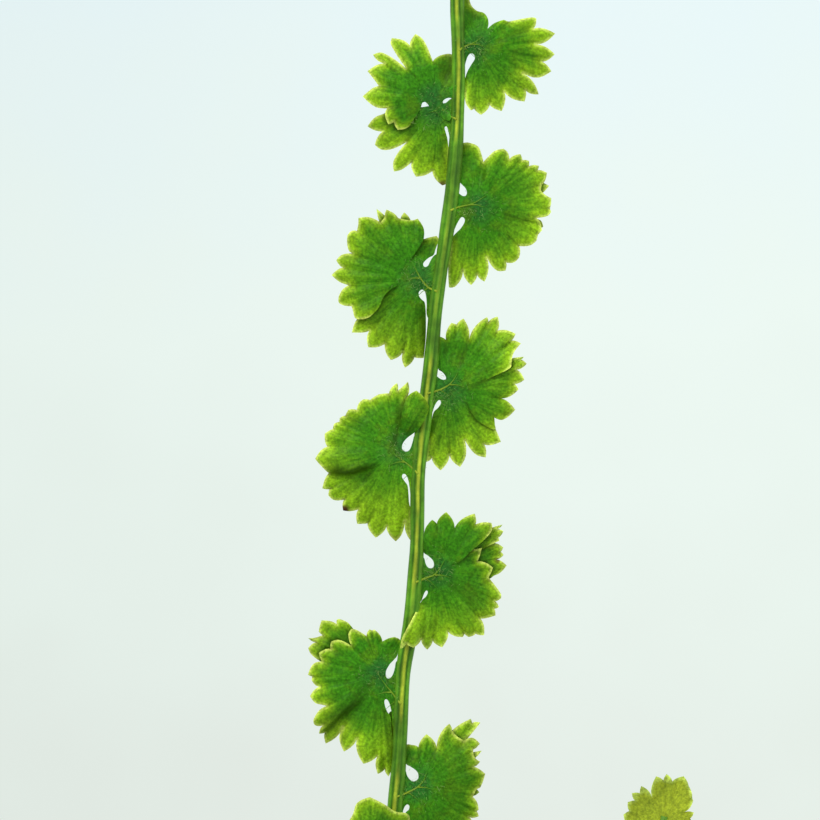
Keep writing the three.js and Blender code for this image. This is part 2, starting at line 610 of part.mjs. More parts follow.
// Potting mix: a plug that fills the pot to a finger's width under its rim, with a lumpy top and the plain
// hole that the crown stands in.
function soil() {
  const { baseRadius, shoulderRadius, height, rimHeight, wall, floor, edge } = POT;
  const { top, wallGap, sides, lump, rings } = SOIL;
  const bend = height - rimHeight - wall;
  const low = floor + edge;
  const rise = (z) => (z - low) / (bend - low);
  const inner = (z) => lerp(baseRadius - wall + 1, shoulderRadius - wall, rise(z)) - wallGap;
  const upper = inner(bend);
  const geometry = turned(
    [
      [0, floor + GAP], [baseRadius - wall - 2.4, floor + GAP], [inner(low + 1), low + 1], [upper, bend],
      [upper + 2, top - 4], [upper + 2, top], ...rings.map((share) => [share * upper, top]), [0, top],
    ],
    sides,
  );
  const places = geometry.attributes.position;
  for (let i = 0; i < places.count; i++) {
    const [x, y, z] = [places.getX(i), places.getY(i), places.getZ(i)];
    if (z < top - 0.01) continue;
    const lumps = Math.sin(0.31 * x + 1.3) * Math.cos(0.27 * y - 0.4) + 0.6 * Math.sin(0.17 * (x - y) + 2);
    places.setZ(i, top + lump * lumps);
  }
  const hole = peg(CROWN.radius + GAP + 0.1, CROWN.bottom - GAP, top + 12);
  return solid(geometry).subtract(hole);
}

// The rootstock: a lumpy dome with the stubs of old stalks, and a plain socket for each frond's foot.
function crown(stalks) {
  const { radius, bottom, shoulder, top, sides } = CROWN;
  const dome = turned(
    [
      [0, SOIL.top - 2], [radius, SOIL.top - 2], [radius - 0.8, shoulder], [radius - 3.6, top - 4],
      [radius / 2, top - 1], [0, top],
    ],
    sides,
  );
  const places = dome.attributes.position;
  for (let i = 0; i < places.count; i++) {
    const [x, y, z] = [places.getX(i), places.getY(i), places.getZ(i)];
    if (z < shoulder - 0.01) continue;
    const swell = 1 + 0.06 * Math.sin(5 * Math.atan2(y, x) + 0.5 * z);
    places.setXYZ(i, x * swell, y * swell, z);
  }
  const { stub: old } = CROWN;
  const stubs = CROWN.stubs.map((heading, i) => {
    const lean = old.lean[0] + old.lean[1] * draw(300 + i);
    const length = old.length[0] + old.length[1] * draw(330 + i);
    const aim = compass(heading).multiplyScalar(Math.sin(lean)).addScaledVector(UP, Math.cos(lean));
    const stub = new THREE.CylinderGeometry(old.tip, old.foot, length, 5).translate(0, 4, 0);
    stub.applyQuaternion(new THREE.Quaternion().setFromUnitVectors(new THREE.Vector3(0, 1, 0), aim));
    const place = compass(heading).multiplyScalar(CROWN.stubCircle);
    return solid(stub.translate(place.x, place.y, shoulder));
  });
  const sockets = stalks.map((stalk) => stalk.socket());
  const body = wasm.Manifold.union([solid(dome), peg(radius, bottom, SOIL.top), ...stubs]);
  return body.subtract(wasm.Manifold.union(sockets));
}

function material(color, roughness) {
  return new THREE.MeshStandardMaterial({ color, roughness, metalness: 0 });
}

function fern() {
  const group = new THREE.Group();
  const leaf = material(0x4f8f26, 0.5);
  const fronds = [tallFrond(), ...FRONDS.map(leaningFrond)];
  group.add(piece("pot", pot(), material(0xb5683f, 0.85)));
  group.add(piece("soil", soil(), material(0x3a2a1f, 0.95)));
  group.add(piece("crown", crown(fronds.map((f) => f.stalk)), material(0x4b3220, 0.9)));
  fronds.forEach(({ body }, i) => group.add(piece(`frond_${String(i + 1).padStart(2, "0")}`, body, leaf)));
  return group;
}

export default fern();
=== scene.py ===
"""A potted tatting fern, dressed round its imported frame.

The fronds, the clay pot, the potting mix and the scaly rootstock are built as finer forms in the places
of their solids, and each gets the finish of the living plant. Sizes are in millimetres and turn into
metres when a piece is made.
"""

from __future__ import annotations

import logging
import math
import re
from collections import defaultdict
from dataclasses import dataclass
from enum import Enum
from typing import Callable, ClassVar, Sequence

import bmesh
import bpy
import numpy as np
from mathutils import Matrix, Vector, noise
from mathutils.geometry import delaunay_2d_cdt

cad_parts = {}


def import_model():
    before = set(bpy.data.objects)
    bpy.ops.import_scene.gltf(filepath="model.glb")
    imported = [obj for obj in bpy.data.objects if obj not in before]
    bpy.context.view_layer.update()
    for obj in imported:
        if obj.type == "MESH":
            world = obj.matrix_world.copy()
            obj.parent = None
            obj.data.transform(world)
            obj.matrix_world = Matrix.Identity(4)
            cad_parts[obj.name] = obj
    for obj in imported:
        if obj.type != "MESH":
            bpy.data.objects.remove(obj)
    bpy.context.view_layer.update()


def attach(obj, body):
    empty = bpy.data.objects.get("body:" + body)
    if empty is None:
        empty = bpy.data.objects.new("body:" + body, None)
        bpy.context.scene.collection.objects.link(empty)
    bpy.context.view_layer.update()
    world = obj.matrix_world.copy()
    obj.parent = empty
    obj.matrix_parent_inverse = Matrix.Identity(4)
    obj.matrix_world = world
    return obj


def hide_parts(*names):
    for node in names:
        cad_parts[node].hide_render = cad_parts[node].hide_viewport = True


LOG = logging.getLogger("fern")
MM = 0.001
LEAN = 0.45  # how far light that goes through a skin leans to a colour of its own
UP = np.array([0.0, 0.0, 1.0])
RIGHT = np.array([1.0, 0.0, 0.0])


# Small helpers


def draw(number: float) -> float:
    """Returns a repeatable draw from 0 to 1 for a number, the same one that the solids use."""
    wave = math.sin(number * 12.9898 + 4.137) * 43758.5453
    return wave - math.floor(wave)


def lerp(low: float, high: float, share: float) -> float:
    """Returns the value that lies a share of the way from low to high."""
    return low + (high - low) * share


def smooth(value: np.ndarray | float, low: float, high: float) -> np.ndarray | float:
    """Returns 0 up to low, 1 from high, and an even rise between them."""
    share = np.clip((np.asarray(value, float) - low) / (high - low), 0.0, 1.0)
    return share * share * (3.0 - 2.0 * share)


def unit(vector: np.ndarray) -> np.ndarray:
    """Returns the vector at length one."""
    return vector / np.linalg.norm(vector)


def turned(vector: np.ndarray, axis: np.ndarray, angle: float) -> np.ndarray:
    """Returns the vector turned about a unit axis by an angle in radians."""
    kept = vector * math.cos(angle) + np.cross(axis, vector) * math.sin(angle)
    return kept + axis * np.dot(axis, vector) * (1.0 - math.cos(angle))


def compass(heading: float) -> np.ndarray:
    """Returns the level direction of a compass heading in degrees, where 0 is +X and 90 is +Y."""
    return np.array([math.cos(math.radians(heading)), math.sin(math.radians(heading)), 0.0])


def paint(code: str) -> tuple[float, float, float, float]:
    """Turns an sRGB hex colour into the linear colour that shaders read.

    Args:
        code: six hex digits, such as "39801a".

    Returns:
        Red, green, blue and an alpha of one.
    """
    parts = [int(code[i : i + 2], 16) / 255.0 for i in (0, 2, 4)]
    linear = [p / 12.92 if p <= 0.04045 else ((p + 0.055) / 1.055) ** 2.4 for p in parts]
    return (linear[0], linear[1], linear[2], 1.0)


def add_node(
    tree: bpy.types.NodeTree,
    kind: str,
    settings: dict[str, object] | None = None,
    stops: Sequence[tuple[float, str]] = (),
    **links: object,
) -> bpy.types.Node:
    """Adds a node with its settings and links.

    Args:
        tree: the node tree that gets the node.
        kind: the node's type, such as "ShaderNodeBump".
        settings: properties of the node, by name.
        stops: places and sRGB hex colours, for a colour ramp.
        **links: what goes into each input: a wire, or a plain value. The names are the inputs' names in
            lower case with underscores, or i and a number for an input by its place.

    Returns:
        The new node.
    """
    node = tree.nodes.new(kind)
    for name, value in (settings or {}).items():
        setattr(node, name, value)
    if stops:
        elements = node.color_ramp.elements
        while len(elements) < len(stops):
            elements.new(0.5)
        for element, (place, code) in zip(elements, stops):
            element.position = place
            element.color = paint(code)
    for name, source in links.items():
        if re.fullmatch(r"i\d+", name):
            socket = node.inputs[int(name[1:])]
        else:
            socket = next(s for s in node.inputs if s.name.lower().replace(" ", "_") == name and s.enabled)
        if isinstance(source, Wire):
            tree.links.new(source.socket, socket)
        else:
            socket.default_value = source
    return node


class Wire:
    """A value that runs through a node tree. Sums, products and the calls below add the nodes they need."""

    def __init__(self, tree: bpy.types.NodeTree, socket: bpy.types.NodeSocket) -> None:
        """Takes the tree and the socket that gives the value."""
        self.tree = tree
        self.socket = socket

    def math(self, operation: str, *others: object) -> Wire:
        """Returns the outcome of a Math node on this value and others."""
        links = {f"i{k}": value for k, value in enumerate((self, *others))}
        return wire(self.tree, "ShaderNodeMath", settings={"operation": operation}, **links)

    def __add__(self, other: object) -> Wire:
        """Returns a sum."""
        return self.math("ADD", other)

    def __mul__(self, other: object) -> Wire:
        """Returns a product."""
        return self.math("MULTIPLY", other)

    def span(self, low: float, high: float, to_low: float = 0.0, to_high: float = 1.0) -> Wire:
        """Returns this value mapped softly from one range to another.

        Args:
            low: where the first range starts.
            high: where it ends.
            to_low: what low turns into.
            to_high: what high turns into.

        Returns:
            The mapped value.
        """
        ends = {"from_min": low, "from_max": high, "to_min": to_low, "to_max": to_high}
        soft = {"interpolation_type": "SMOOTHSTEP"}
        return wire(self.tree, "ShaderNodeMapRange", settings=soft, value=self, **ends)

    def blend(self, first: object, second: object) -> Wire:
        """Returns a mix of two colours, wires or hex codes, with this share of the second."""
        ends = {f"i{k}": paint(c) if isinstance(c, str) else c for k, c in ((6, first), (7, second))}
        return wire(self.tree, "ShaderNodeMix", 2, {"data_type": "RGBA"}, i0=self, **ends)

    def ramp(self, *stops: tuple[float, str]) -> Wire:
        """Returns the colour of a ramp at this share."""
        return Wire(self.tree, add_node(self.tree, "ShaderNodeValToRGB", stops=stops, fac=self).outputs[0])

    def mottle(self, scale: float, detail: float = 3.0, roughness: float = 0.6) -> Wire:
        """Returns the value of a noise at this place."""
        grain = {"scale": scale, "detail": detail, "roughness": roughness}
        return wire(self.tree, "ShaderNodeTexNoise", "Fac", vector=self, **grain)

    def scaled(self, scale: object) -> Wire:
        """Returns this vector or colour times a number, or times a vector of three numbers.

        Args:
            scale: the number, or a tuple of three.

        Returns:
            The scaled vector or colour.
        """
        kind = "ShaderNodeVectorMath"
        if isinstance(scale, tuple):
            return wire(self.tree, kind, settings={"operation": "MULTIPLY"}, i0=self, i1=scale)
        return wire(self.tree, kind, settings={"operation": "SCALE"}, vector=self, scale=scale)

    def length(self) -> Wire:
        """Returns the length of this vector."""
        return wire(self.tree, "ShaderNodeVectorMath", "Value", {"operation": "LENGTH"}, vector=self)

    def parts(self) -> list[Wire]:
        """Returns the three parts of this vector."""
        outputs = add_node(self.tree, "ShaderNodeSeparateXYZ", vector=self).outputs
        return [Wire(self.tree, output) for output in outputs]


def wire(
    tree: bpy.types.NodeTree, kind: str, output: int | str = 0, settings: dict[str, object] | None = None,
    **links: object,
) -> Wire:
    """Adds a node and returns one of its outputs, by its place or name."""
    return Wire(tree, add_node(tree, kind, settings, **links).outputs[output])


def spot_at(tree: bpy.types.NodeTree) -> Wire:
    """Returns the place of a point in the object's frame."""
    return wire(tree, "ShaderNodeTexCoord", "Object")


def carried(tree: bpy.types.NodeTree, name: str) -> list[Wire]:
    """Returns the three values that the points carry under a name."""
    return wire(tree, "ShaderNodeAttribute", "Vector", {"attribute_name": name}).parts()


def coat(
    colour: Wire, relief: Wire, strength: float, depth: float, glow: float = 0.0, through: str = "",
    **values: float,
) -> None:
    """Ends a finish: a skin with its relief, which may let some light through.

    Args:
        colour: the skin's colour.
        relief: the height of its fine relief.
        strength: how strong the relief is.
        depth: how deep it is, in metres.
        glow: the share of the light that goes through.
        through: the hex colour that such light leans to; the skin's own unless given.
        **values: the skin's other inputs.
    """
    tree = colour.tree
    bump = wire(tree, "ShaderNodeBump", strength=strength, distance=depth, height=relief)
    shell = wire(tree, "ShaderNodeBsdfPrincipled", base_color=colour, normal=bump, **values)
    if glow:
        if through:
            mix = {"i0": LEAN, "i6": colour, "i7": paint(through)}
            colour = wire(tree, "ShaderNodeMix", 2, {"data_type": "RGBA"}, **mix)
        lit = wire(tree, "ShaderNodeBsdfTranslucent", color=colour, normal=bump)
        shell = wire(tree, "ShaderNodeMixShader", fac=glow, i1=shell, i2=lit)
    add_node(tree, "ShaderNodeOutputMaterial", surface=shell)


# Finishes


class Finish:
    """A surface finish that is made once and shared by the pieces that have it."""

    name: ClassVar[str] = ""
    _made: ClassVar[dict[str, bpy.types.Material]] = {}

    def material(self) -> bpy.types.Material:
        """Returns the finish's material, and makes it the first time."""
        if self.name not in Finish._made:
            material = bpy.data.materials.new(self.name)
            material.use_nodes = True
            material.node_tree.nodes.clear()
            self.build(material.node_tree)
            Finish._made[self.name] = material
        return Finish._made[self.name]

    def build(self, tree: bpy.types.NodeTree) -> None:
        """Builds the finish's nodes."""
        raise NotImplementedError


@dataclass(frozen=True)
class FernBlade(Finish):
    """The living blade of a leaflet: a thin satin skin over green flesh that lets some light through.

    Chlorophyll gives the deep green round the hub, thin young flesh the yellow green towards the rim, and
    the skin's cells a fine grain. Each point carries its place on the blade, so the colours follow the fan.
    """

    name: ClassVar[str] = "fern_blade"
    hub: str = "2a6a26"
    middle: str = "3b8211"
    olive: str = "5c8210"
    outer: str = "8ab41c"
    rim: str = "cfe066"
    under: str = "82aa46"
    fold: str = "2a4203"
    # the olive of the painted shade in creases, clefts, hollows and under the edges of the layers in front
    spot: str = "4a2418"
    through: str = "98c81c"
    young: str = "b2b42c"
    streaks: float = 11.0  # vein streaks in each radian round the hub
    cell: float = 3000.0  # skin grains in each metre, as fine as the render can show
    shade: float = 0.85  # how dark the painted shade in a crease is
    roughness: float = 0.5
    ior: float = 1.42
    sheen_share: float = 0.13  # how much of a plain skin's shine the cells leave
    glow: float = 0.24  # the share of the light that goes through

    def build(self, tree: bpy.types.NodeTree) -> None:
        """Builds the blade's colours from the place on the fan, and its grain, streaks and glow.

        Args:
            tree: the finish's node tree.
        """
        across, along, margin = carried(tree, "place")
        tone, under, brown = carried(tree, "trait")
        # The attribute read here is painted shade: it darkens creases, clefts, hollows and the edges of the
        # layers in front.
        crease = wire(tree, "ShaderNodeAttribute", "Fac", {"attribute_name": "crease"})
        reach = wire(tree, "ShaderNodeCombineXYZ", x=across, y=along).length()
        world = spot_at(tree)

        # Streaks run out from the hub as the veins do; the blotches are patches of thicker flesh.
        turn = along.math("ARCTAN2", across) * self.streaks
        fan = wire(tree, "ShaderNodeCombineXYZ", x=turn, y=reach * 0.16)
        seed = world.scaled(12.0)
        fanned = wire(tree, "ShaderNodeVectorMath", settings={"operation": "ADD"}, i0=fan, i1=seed)
        streak = fanned.mottle(1.6, 2.5, 0.55)
        blotch = world.mottle(420.0)
        swathe = world.mottle(170.0, 2.0, 0.5)
        patch = world.mottle(300.0, 1.0, 0.5)
        cells = world.mottle(self.cell, 2.0, 0.7)

        # Blue green at the hub with olive patches, then green, then yellow green along the streaks.
        green = (blotch * 0.8 + reach.span(0.0, 4.4)).span(0.3, 1.2).blend(self.hub, self.middle)
        green = (blotch.span(0.48, 0.66, 0.0, 0.5) * reach.span(8.0, 3.0)).blend(green, self.olive)
        yellow = tone * 0.62 + reach.span(1.0, 11.5, -0.44, 0.36) + margin.span(1.5, 0.0, 0.0, 0.8)
        yellow = yellow + streak * 0.62 + patch * 0.45 + swathe * 0.6
        outer = yellow.span(0.6, 1.95).blend(green, self.outer)
        outer = tone.span(1.1, 1.8, 0.0, 0.75).blend(outer, self.young)
        rimmed = margin.span(0.46, 0.0).blend(outer, self.rim)

        # Fine grain and streaks lighten and darken the flesh a little.
        grain = cells.span(0.28, 0.72, 0.66, 1.36) * streak.span(0.25, 0.75, 0.84, 1.17)
        grain = grain * swathe.span(0.3, 0.7, 0.9, 1.14)
        # The underside is paler between its veins, and creases and the edges of the layers in front keep a
        # painted olive shade.
        pale = under * streak.span(0.36, 0.62, 0.5, 0.86)
        backed = pale.blend(rimmed.scaled(grain), self.under)
        shaded = (crease * self.shade).blend(backed, self.fold)
        coat(
            brown.blend(shaded, self.spot), streak * 2.2 + cells, 0.5, 0.00005, self.glow, self.through,
            roughness=self.roughness, ior=self.ior, specular_ior_level=self.sheen_share,
        )


@dataclass(frozen=True)
class FernStalk(Finish):
    """The grooved green stalk of a frond: a smooth firm skin with a pale ridge along its upper face.

    The strands of the ridge show yellow through the skin, the grooves beside it are painted darker, as the
    shade in them, and the foot is brown and dry. Where leaflets shade the stalk, painted shade darkens it.
    """

    name: ClassVar[str] = "fern_stalk"
    ridge: str = "98a82c"
    lip: str = "6c8c1c"
    groove: str = "34600a"
    band: str = "467c15"
    left: str = "54861c"
    right: str = "5f9322"
    back: str = "66923a"
    foot: str = "4a3016"
    roughness: float = 0.45
    ior: float = 1.45
    sheen_share: float = 0.2

    def stripes(self, ridge: str, lip: str, groove: str) -> tuple[tuple[float, str], ...]:
        """Returns the stripes round the stalk: 0.5 is the middle of the upper face, the ends are the back.

        Args:
            ridge: the ridge's colour.
            lip: the colour of its lips.
            groove: the grooves' colour.

        Returns:
            Places round the stalk and their colours.
        """
        return (
            (0.0, self.back), (0.14, self.left), (0.23, self.left), (0.3, self.band), (0.37, groove),
            (0.43, lip), (0.472, ridge), (0.52, ridge), (0.562, lip), (0.615, groove),
            (0.69, self.band), (0.765, self.right), (0.86, self.right), (1.0, self.back),
        )

    def build(self, tree: bpy.types.NodeTree) -> None:
        """Builds the stalk's stripes from the place round it, and its brown foot from the place along it.

        Args:
            tree: the finish's node tree.
        """
        around, along, foot = carried(tree, "place")
        fade, shown, painted_shade = carried(tree, "trait")
        # Streaks a tenth of a millimetre wide run along the stalk, and slow swathes change its light and
        # how clearly the ridge shows.
        fibres, swathe = (
            wire(tree, "ShaderNodeCombineXYZ", x=around * wide, y=along * long).mottle(1.0, detail, roughness)
            for wide, long, detail, roughness in ((11.0, 0.35, 3.0, 0.6), (2.2, 0.13, 2.0, 0.5))
        )
        show = (along * 0.11).mottle(1.0, 1.0, 0.5)
        grain = spot_at(tree).mottle(900.0)
        strayed = around + (fibres * 0.12 + -0.06) + (show * 0.1 + -0.05)
        plain = strayed.ramp(*self.stripes(self.left, self.right, self.band))
        clear = strayed.ramp(*self.stripes(self.ridge, self.lip, self.groove))
        striped = (show * 0.5 + shown).span(0.3, 1.05).blend(plain, clear)
        light = grain.span(0.28, 0.72, 0.8, 1.2) * swathe.span(0.3, 0.7, 0.66, 1.26)
        # Painted shade darkens the stalk where leaflets shade it.
        lit = striped.scaled(light * painted_shade.span(0.0, 1.0, 1.0, 0.45))
        dry = (grain * 0.5 + foot).span(0.35, 1.05)
        coat(
            dry.blend(fade.blend(lit, FernBlade.middle), self.foot), fibres, 0.4, 0.00006,
            roughness=self.roughness, ior=self.ior, specular_ior_level=self.sheen_share,
        )


@dataclass(frozen=True)
class PlantHair(Finish):
    """Fine pale hairs on the leaflets' little stalks: dry, thin walled cells that catch the light."""

    name: ClassVar[str] = "plant_hair"
    colour: str = "9dbd66"
    shade: str = "6a9a3c"
    roughness: float = 0.5

    def build(self, tree: bpy.types.NodeTree) -> None:
        """Builds the hairs' plain pale skin, a little uneven.

        Args:
            tree: the finish's node tree.
        """
        patch = spot_at(tree).mottle(700.0, 2.0, 0.5)
        colour = patch.ramp((0.35, self.shade), (0.65, self.colour))
        coat(colour, patch, 0.1, 0.00001, roughness=self.roughness)


@dataclass(frozen=True)
class FiredClay(Finish):
    """Unglazed red earthenware, thrown and fired: matt, with fine grog, turning marks and pale lime bloom."""

    name: ClassVar[str] = "fired_clay"
    clay: str = "b96a40"
    dark: str = "9a5231"
    bloom: str = "d9b79a"
    damp: str = "7b4229"
    grog: float = 800.0  # grog grains in a metre, coarser than the real ones so that they show
    roughness: float = 0.86

    def build(self, tree: bpy.types.NodeTree) -> None:
        """Builds the clay's mottled colour, lime bloom, turning marks and grog.

        Args:
            tree: the finish's node tree.
        """
        world = spot_at(tree)
        height = world.parts()[2]
        body = world.mottle(28.0, 5.0).ramp((0.32, self.dark), (0.68, self.clay))
        grog = world.mottle(self.grog, 2.0, 0.7)
        speckled = body.scaled(grog.span(0.3, 0.7, 0.82, 1.16))
        # Damp from the mix darkens the wall's foot; lime dries out in clouds higher up.
        cloud = world.mottle(46.0, 6.0, 0.68) + height.span(0.03, 0.1, -0.18, 0.1)
        bloomy = cloud.span(0.5, 0.78, 0.0, 0.55).blend(speckled, self.bloom)
        final = height.span(0.045, 0.0, 0.0, 0.5).blend(bloomy, self.damp)
        marks = wire(
            tree, "ShaderNodeTexWave", "Fac", {"bands_direction": "Z", "wave_profile": "SIN"},
            vector=world, scale=90.0, distortion=2.0, detail=2.0, detail_scale=0.6,
        )
        coat(final, marks * 0.35 + grog, 0.6, 0.00022, roughness=self.roughness)


class BrownMatter(Finish):
    """Rough brown plant matter, whose colour and relief follow one noise."""

    browns: ClassVar[tuple[tuple[float, str], ...]]
    grains: ClassVar[tuple[float, float, float]]  # how many in a metre, their detail and their roughness
    stretch: ClassVar[tuple[float, float, float]] = (1.0, 1.0, 1.0)
    relief: ClassVar[tuple[float, float]]  # how strong it is, and how deep in metres
    roughness: ClassVar[float] = 0.85

    def build(self, tree: bpy.types.NodeTree) -> None:
        """Builds the matter's browns and its relief."""
        grain = spot_at(tree).scaled(self.stretch).mottle(*self.grains)
        coat(grain.ramp(*self.browns), grain, *self.relief, roughness=self.roughness)


class PottingMix(BrownMatter):
    """Damp peat and bark: dark crumbs with a few fibres, rough all over."""

    name = "potting_mix"
    browns = ((0.3, "20150e"), (0.55, "33231a"), (0.75, "4a3423"))
    grains = (380.0, 6.0, 0.7)
    relief = (0.8, 0.0006)
    roughness = 0.9


class BarkChip(BrownMatter):
    """Composted bark: flat reddish chips with a fibrous grain."""

    name = "bark_chip"
    browns = ((0.3, "2a180e"), (0.55, "55341f"), (0.78, "7d5534"))
    grains = (520.0, 5.0, 0.7)
    stretch = (1.0, 0.3, 1.0)
    relief = (0.7, 0.0003)


class Rootwood(BrownMatter):
    """The rootstock's corky brown skin, and the dry ends of old stalks."""

    name = "rootstock_cork"
    browns = ((0.3, "1f130b"), (0.52, "442a18"), (0.75, "6b4a2c"))
    grains = (300.0, 6.0, 0.65)
    stretch = (1.0, 1.0, 0.35)
    relief = (0.9, 0.0005)


class ChaffScale(Finish):
    """Papery brown scales: thin dry skins that let a warm light through and shine faintly."""

    name = "chaff_scale"
    browns: ClassVar[tuple[tuple[float, str], ...]] = ((0.2, "5b3618"), (0.6, "95632f"), (1.0, "c29a5e"))

    def build(self, tree: bpy.types.NodeTree) -> None:
        """Builds the scales' tan and brown, light at their edges.

        Args:
            tree: the finish's node tree.
        """
        patch = spot_at(tree).mottle(240.0, 3.0, 0.5)
        shade = patch * 0.8 + carried(tree, "place")[0]
        coat(shade.ramp(*self.browns), patch, 0.2, 0.0001, 0.25, roughness=0.45)


@dataclass(frozen=True)
class StudioPaper(Finish):
    """Plain pale paper on the studio floor, which fades into the light round it."""

    name: ClassVar[str] = "studio_paper"
    colour: str = "e9efe9"
    fade_from: float = 0.8
    fade_to: float = 1.7

    def build(self, tree: bpy.types.NodeTree) -> None:
        """Builds the paper's matt white, clear towards its rim.

        Args:
            tree: the finish's node tree.
        """
        fade = spot_at(tree).length().span(self.fade_from, self.fade_to)
        skin = wire(tree, "ShaderNodeBsdfPrincipled", base_color=paint(self.colour), roughness=0.9)
        clear = wire(tree, "ShaderNodeBsdfTransparent")
        both = wire(tree, "ShaderNodeMixShader", fac=fade, i1=skin, i2=clear)
        add_node(tree, "ShaderNodeOutputMaterial", surface=both)


# Meshes gathered from many small forms


class Pile:
    """Points and faces gathered from many forms, with their place and trait values, for one piece."""

    def __init__(self) -> None:
        """Starts an empty pile."""
        self.rows: dict[str, list[np.ndarray]] = defaultdict(list)
        self.count = 0

    def add(
        self, points: np.ndarray, faces: np.ndarray, place: np.ndarray | None = None,
        trait: np.ndarray | None = None, slot: int = 0, crease: np.ndarray | None = None,
        rim: np.ndarray | None = None,
    ) -> None:
        """Adds one form.

        Args:
            points: its points in millimetres.
            faces: its triangles or quads, as rows of point numbers; a triangle's row ends in -1.
            place: three values for each point, for the finish.
            trait: three more values for each point.
            slot: which of the piece's finishes its faces get.
            crease: how much painted shade each point gets, in a crease or under the edge of a layer in front,
                from 0 to 1.
            rim: which points lie on a sharp rim.
        """
        count, blank = len(points), np.zeros((len(points), 3))
        if faces.shape[1] == 3:
            faces = np.hstack([faces, np.full((len(faces), 1), -1)])
        form = {
            "points": points,
            "faces": np.where(faces < 0, -1, faces + self.count),
            "slots": np.full(len(faces), slot),
            "place": blank if place is None else place,
            "trait": blank if trait is None else trait,
            "crease": blank[:, 0] if crease is None else crease,
            "rim": np.zeros(count, bool) if rim is None else rim,
        }
        for name, values in form.items():
            self.rows[name].append(values)
        self.count += count

    def piece(self, name: str, finishes: Sequence[Finish]) -> bpy.types.Object:
        """Makes the pile's object.

        Args:
            name: the piece's name.
            finishes: its finishes, in the order of their slots.

        Returns:
            The new object, linked to the scene.
        """
        every = {name: np.concatenate(rows) for name, rows in self.rows.items()}
        faces = every["faces"]
        mesh = bpy.data.meshes.new(name)
        loops = faces[faces >= 0]
        starts = np.cumsum(np.where(faces[:, 3] < 0, 3, 4))[:-1]
        mesh.vertices.add(self.count)
        mesh.vertices.foreach_set("co", (every["points"] * MM).ravel())
        mesh.loops.add(len(loops))
        mesh.loops.foreach_set("vertex_index", loops)
        mesh.polygons.add(len(faces))
        mesh.polygons.foreach_set("loop_start", np.concatenate([[0], starts]))
        mesh.polygons.foreach_set("material_index", every["slots"])
        mesh.polygons.foreach_set("use_smooth", np.ones(len(faces), bool))
        for label in ("place", "trait"):
            layer = mesh.attributes.new(label, "FLOAT_VECTOR", "POINT")
            layer.data.foreach_set("vector", every[label].ravel())
        mesh.attributes.new("crease", "FLOAT", "POINT").data.foreach_set("value", every["crease"])
        mesh.update(calc_edges=True)
        mesh.validate()
        pairs = np.empty(2 * len(mesh.edges), int)
        mesh.edges.foreach_get("vertices", pairs)
        sharp = every["rim"][pairs.reshape(-1, 2)].all(axis=1)
        mesh.attributes.new("sharp_edge", "BOOLEAN", "EDGE").data.foreach_set("value", sharp)
        for finish in finishes:
            mesh.materials.append(finish.material())
        made = bpy.data.objects.new(name, mesh)
        bpy.context.scene.collection.objects.link(made)
        return made


def ring_faces(rings: int, sides: int) -> np.ndarray:
    """Closes rings of points into a body.

    Args:
        rings: how many rings there are.
        sides: how many points a ring has.

    Returns:
        The faces between the rings, and the fans to two more points that close its start and its end.
    """
    side = np.arange(sides)
    after = (side + 1) % sides
    blank = np.full(sides, -1)
    last = (rings - 1) * sides
    walls = [
        np.column_stack([low + side, low + after, low + sides + after, low + sides + side])
        for low in range(0, last, sides)
    ]
    foot = np.column_stack([np.full(sides, rings * sides), after, side, blank])
    head = np.column_stack([np.full(sides, rings * sides + 1), last + side, last + after, blank])
    return np.vstack([*walls, foot, head])


def flipped(faces: np.ndarray) -> np.ndarray:
    """Turns faces over, as rows of four numbers where a triangle's row ends in -1."""
    return np.where(faces[:, 3:] < 0, faces[:, [0, 2, 1, 3]], faces[:, ::-1])


def circle(radius: float | np.ndarray, height: float, sides: int) -> np.ndarray:
    """Returns a level ring of points round the axis."""
    angles = 2.0 * math.pi * np.arange(sides) / sides
    return np.column_stack([radius * np.cos(angles), radius * np.sin(angles), np.full(sides, height)])


def add_rings(pile: Pile, rings: Sequence[np.ndarray], bottom: float, top: float) -> None:
    """Adds a body of rings, closed at two heights on the axis.

    Args:
        pile: what it is added to.
        rings: its rings of points, from the bottom's middle outwards and round to the top's middle.
        bottom: the height of its bottom's middle.
        top: the height of its top's middle.
    """
    rows = np.vstack([*rings, (0.0, 0.0, bottom), (0.0, 0.0, top)])
    pile.add(rows, ring_faces(len(rings), len(rings[0])))


def settle(made: bpy.types.Object, node: str) -> None:
    """Seats a piece on the plant's one body, in the place of a node, and reports it.

    Args:
        made: the piece.
        node: the node that it stands for.
    """
    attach(made, "root")
    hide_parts(node)
    made.data.calc_loop_triangles()
    LOG.info("%s: %d triangles, in place of %s", made.name, len(made.data.loop_triangles), node)


# Stalks


@dataclass(frozen=True)
class Station:
    """A place on a stalk: its point and three axes, and the stalk's radius there."""

    point: np.ndarray
    tangent: np.ndarray
    right: np.ndarray
    normal: np.ndarray
    radius: float


@dataclass(frozen=True)
class StalkSizes:
    """How thick a frond's stalk is, as shares of its length and radii, and where its leaflets begin."""

    radii: tuple[tuple[float, float], ...] = ((0.0, 1.55), (0.45, 0.98), (1.0, 0.44))
    straight: float = 22.0  # how far a leaning stalk goes before it bends
    bare: float = 42.0  # how far a leaning stalk goes before its first leaflet
    foot_height: float = 86.0  # the height at which stalks start in the rootstock

    def radius(self, share: float) -> float:
        """Returns the radius a share of the way up."""
        return float(np.interp(share, *zip(*self.radii)))


SIZES = StalkSizes()
TALL_SIZES = StalkSizes(radii=((0.0, 1.55), (0.45, 1.0), (0.72, 0.92), (1.0, 0.44)))


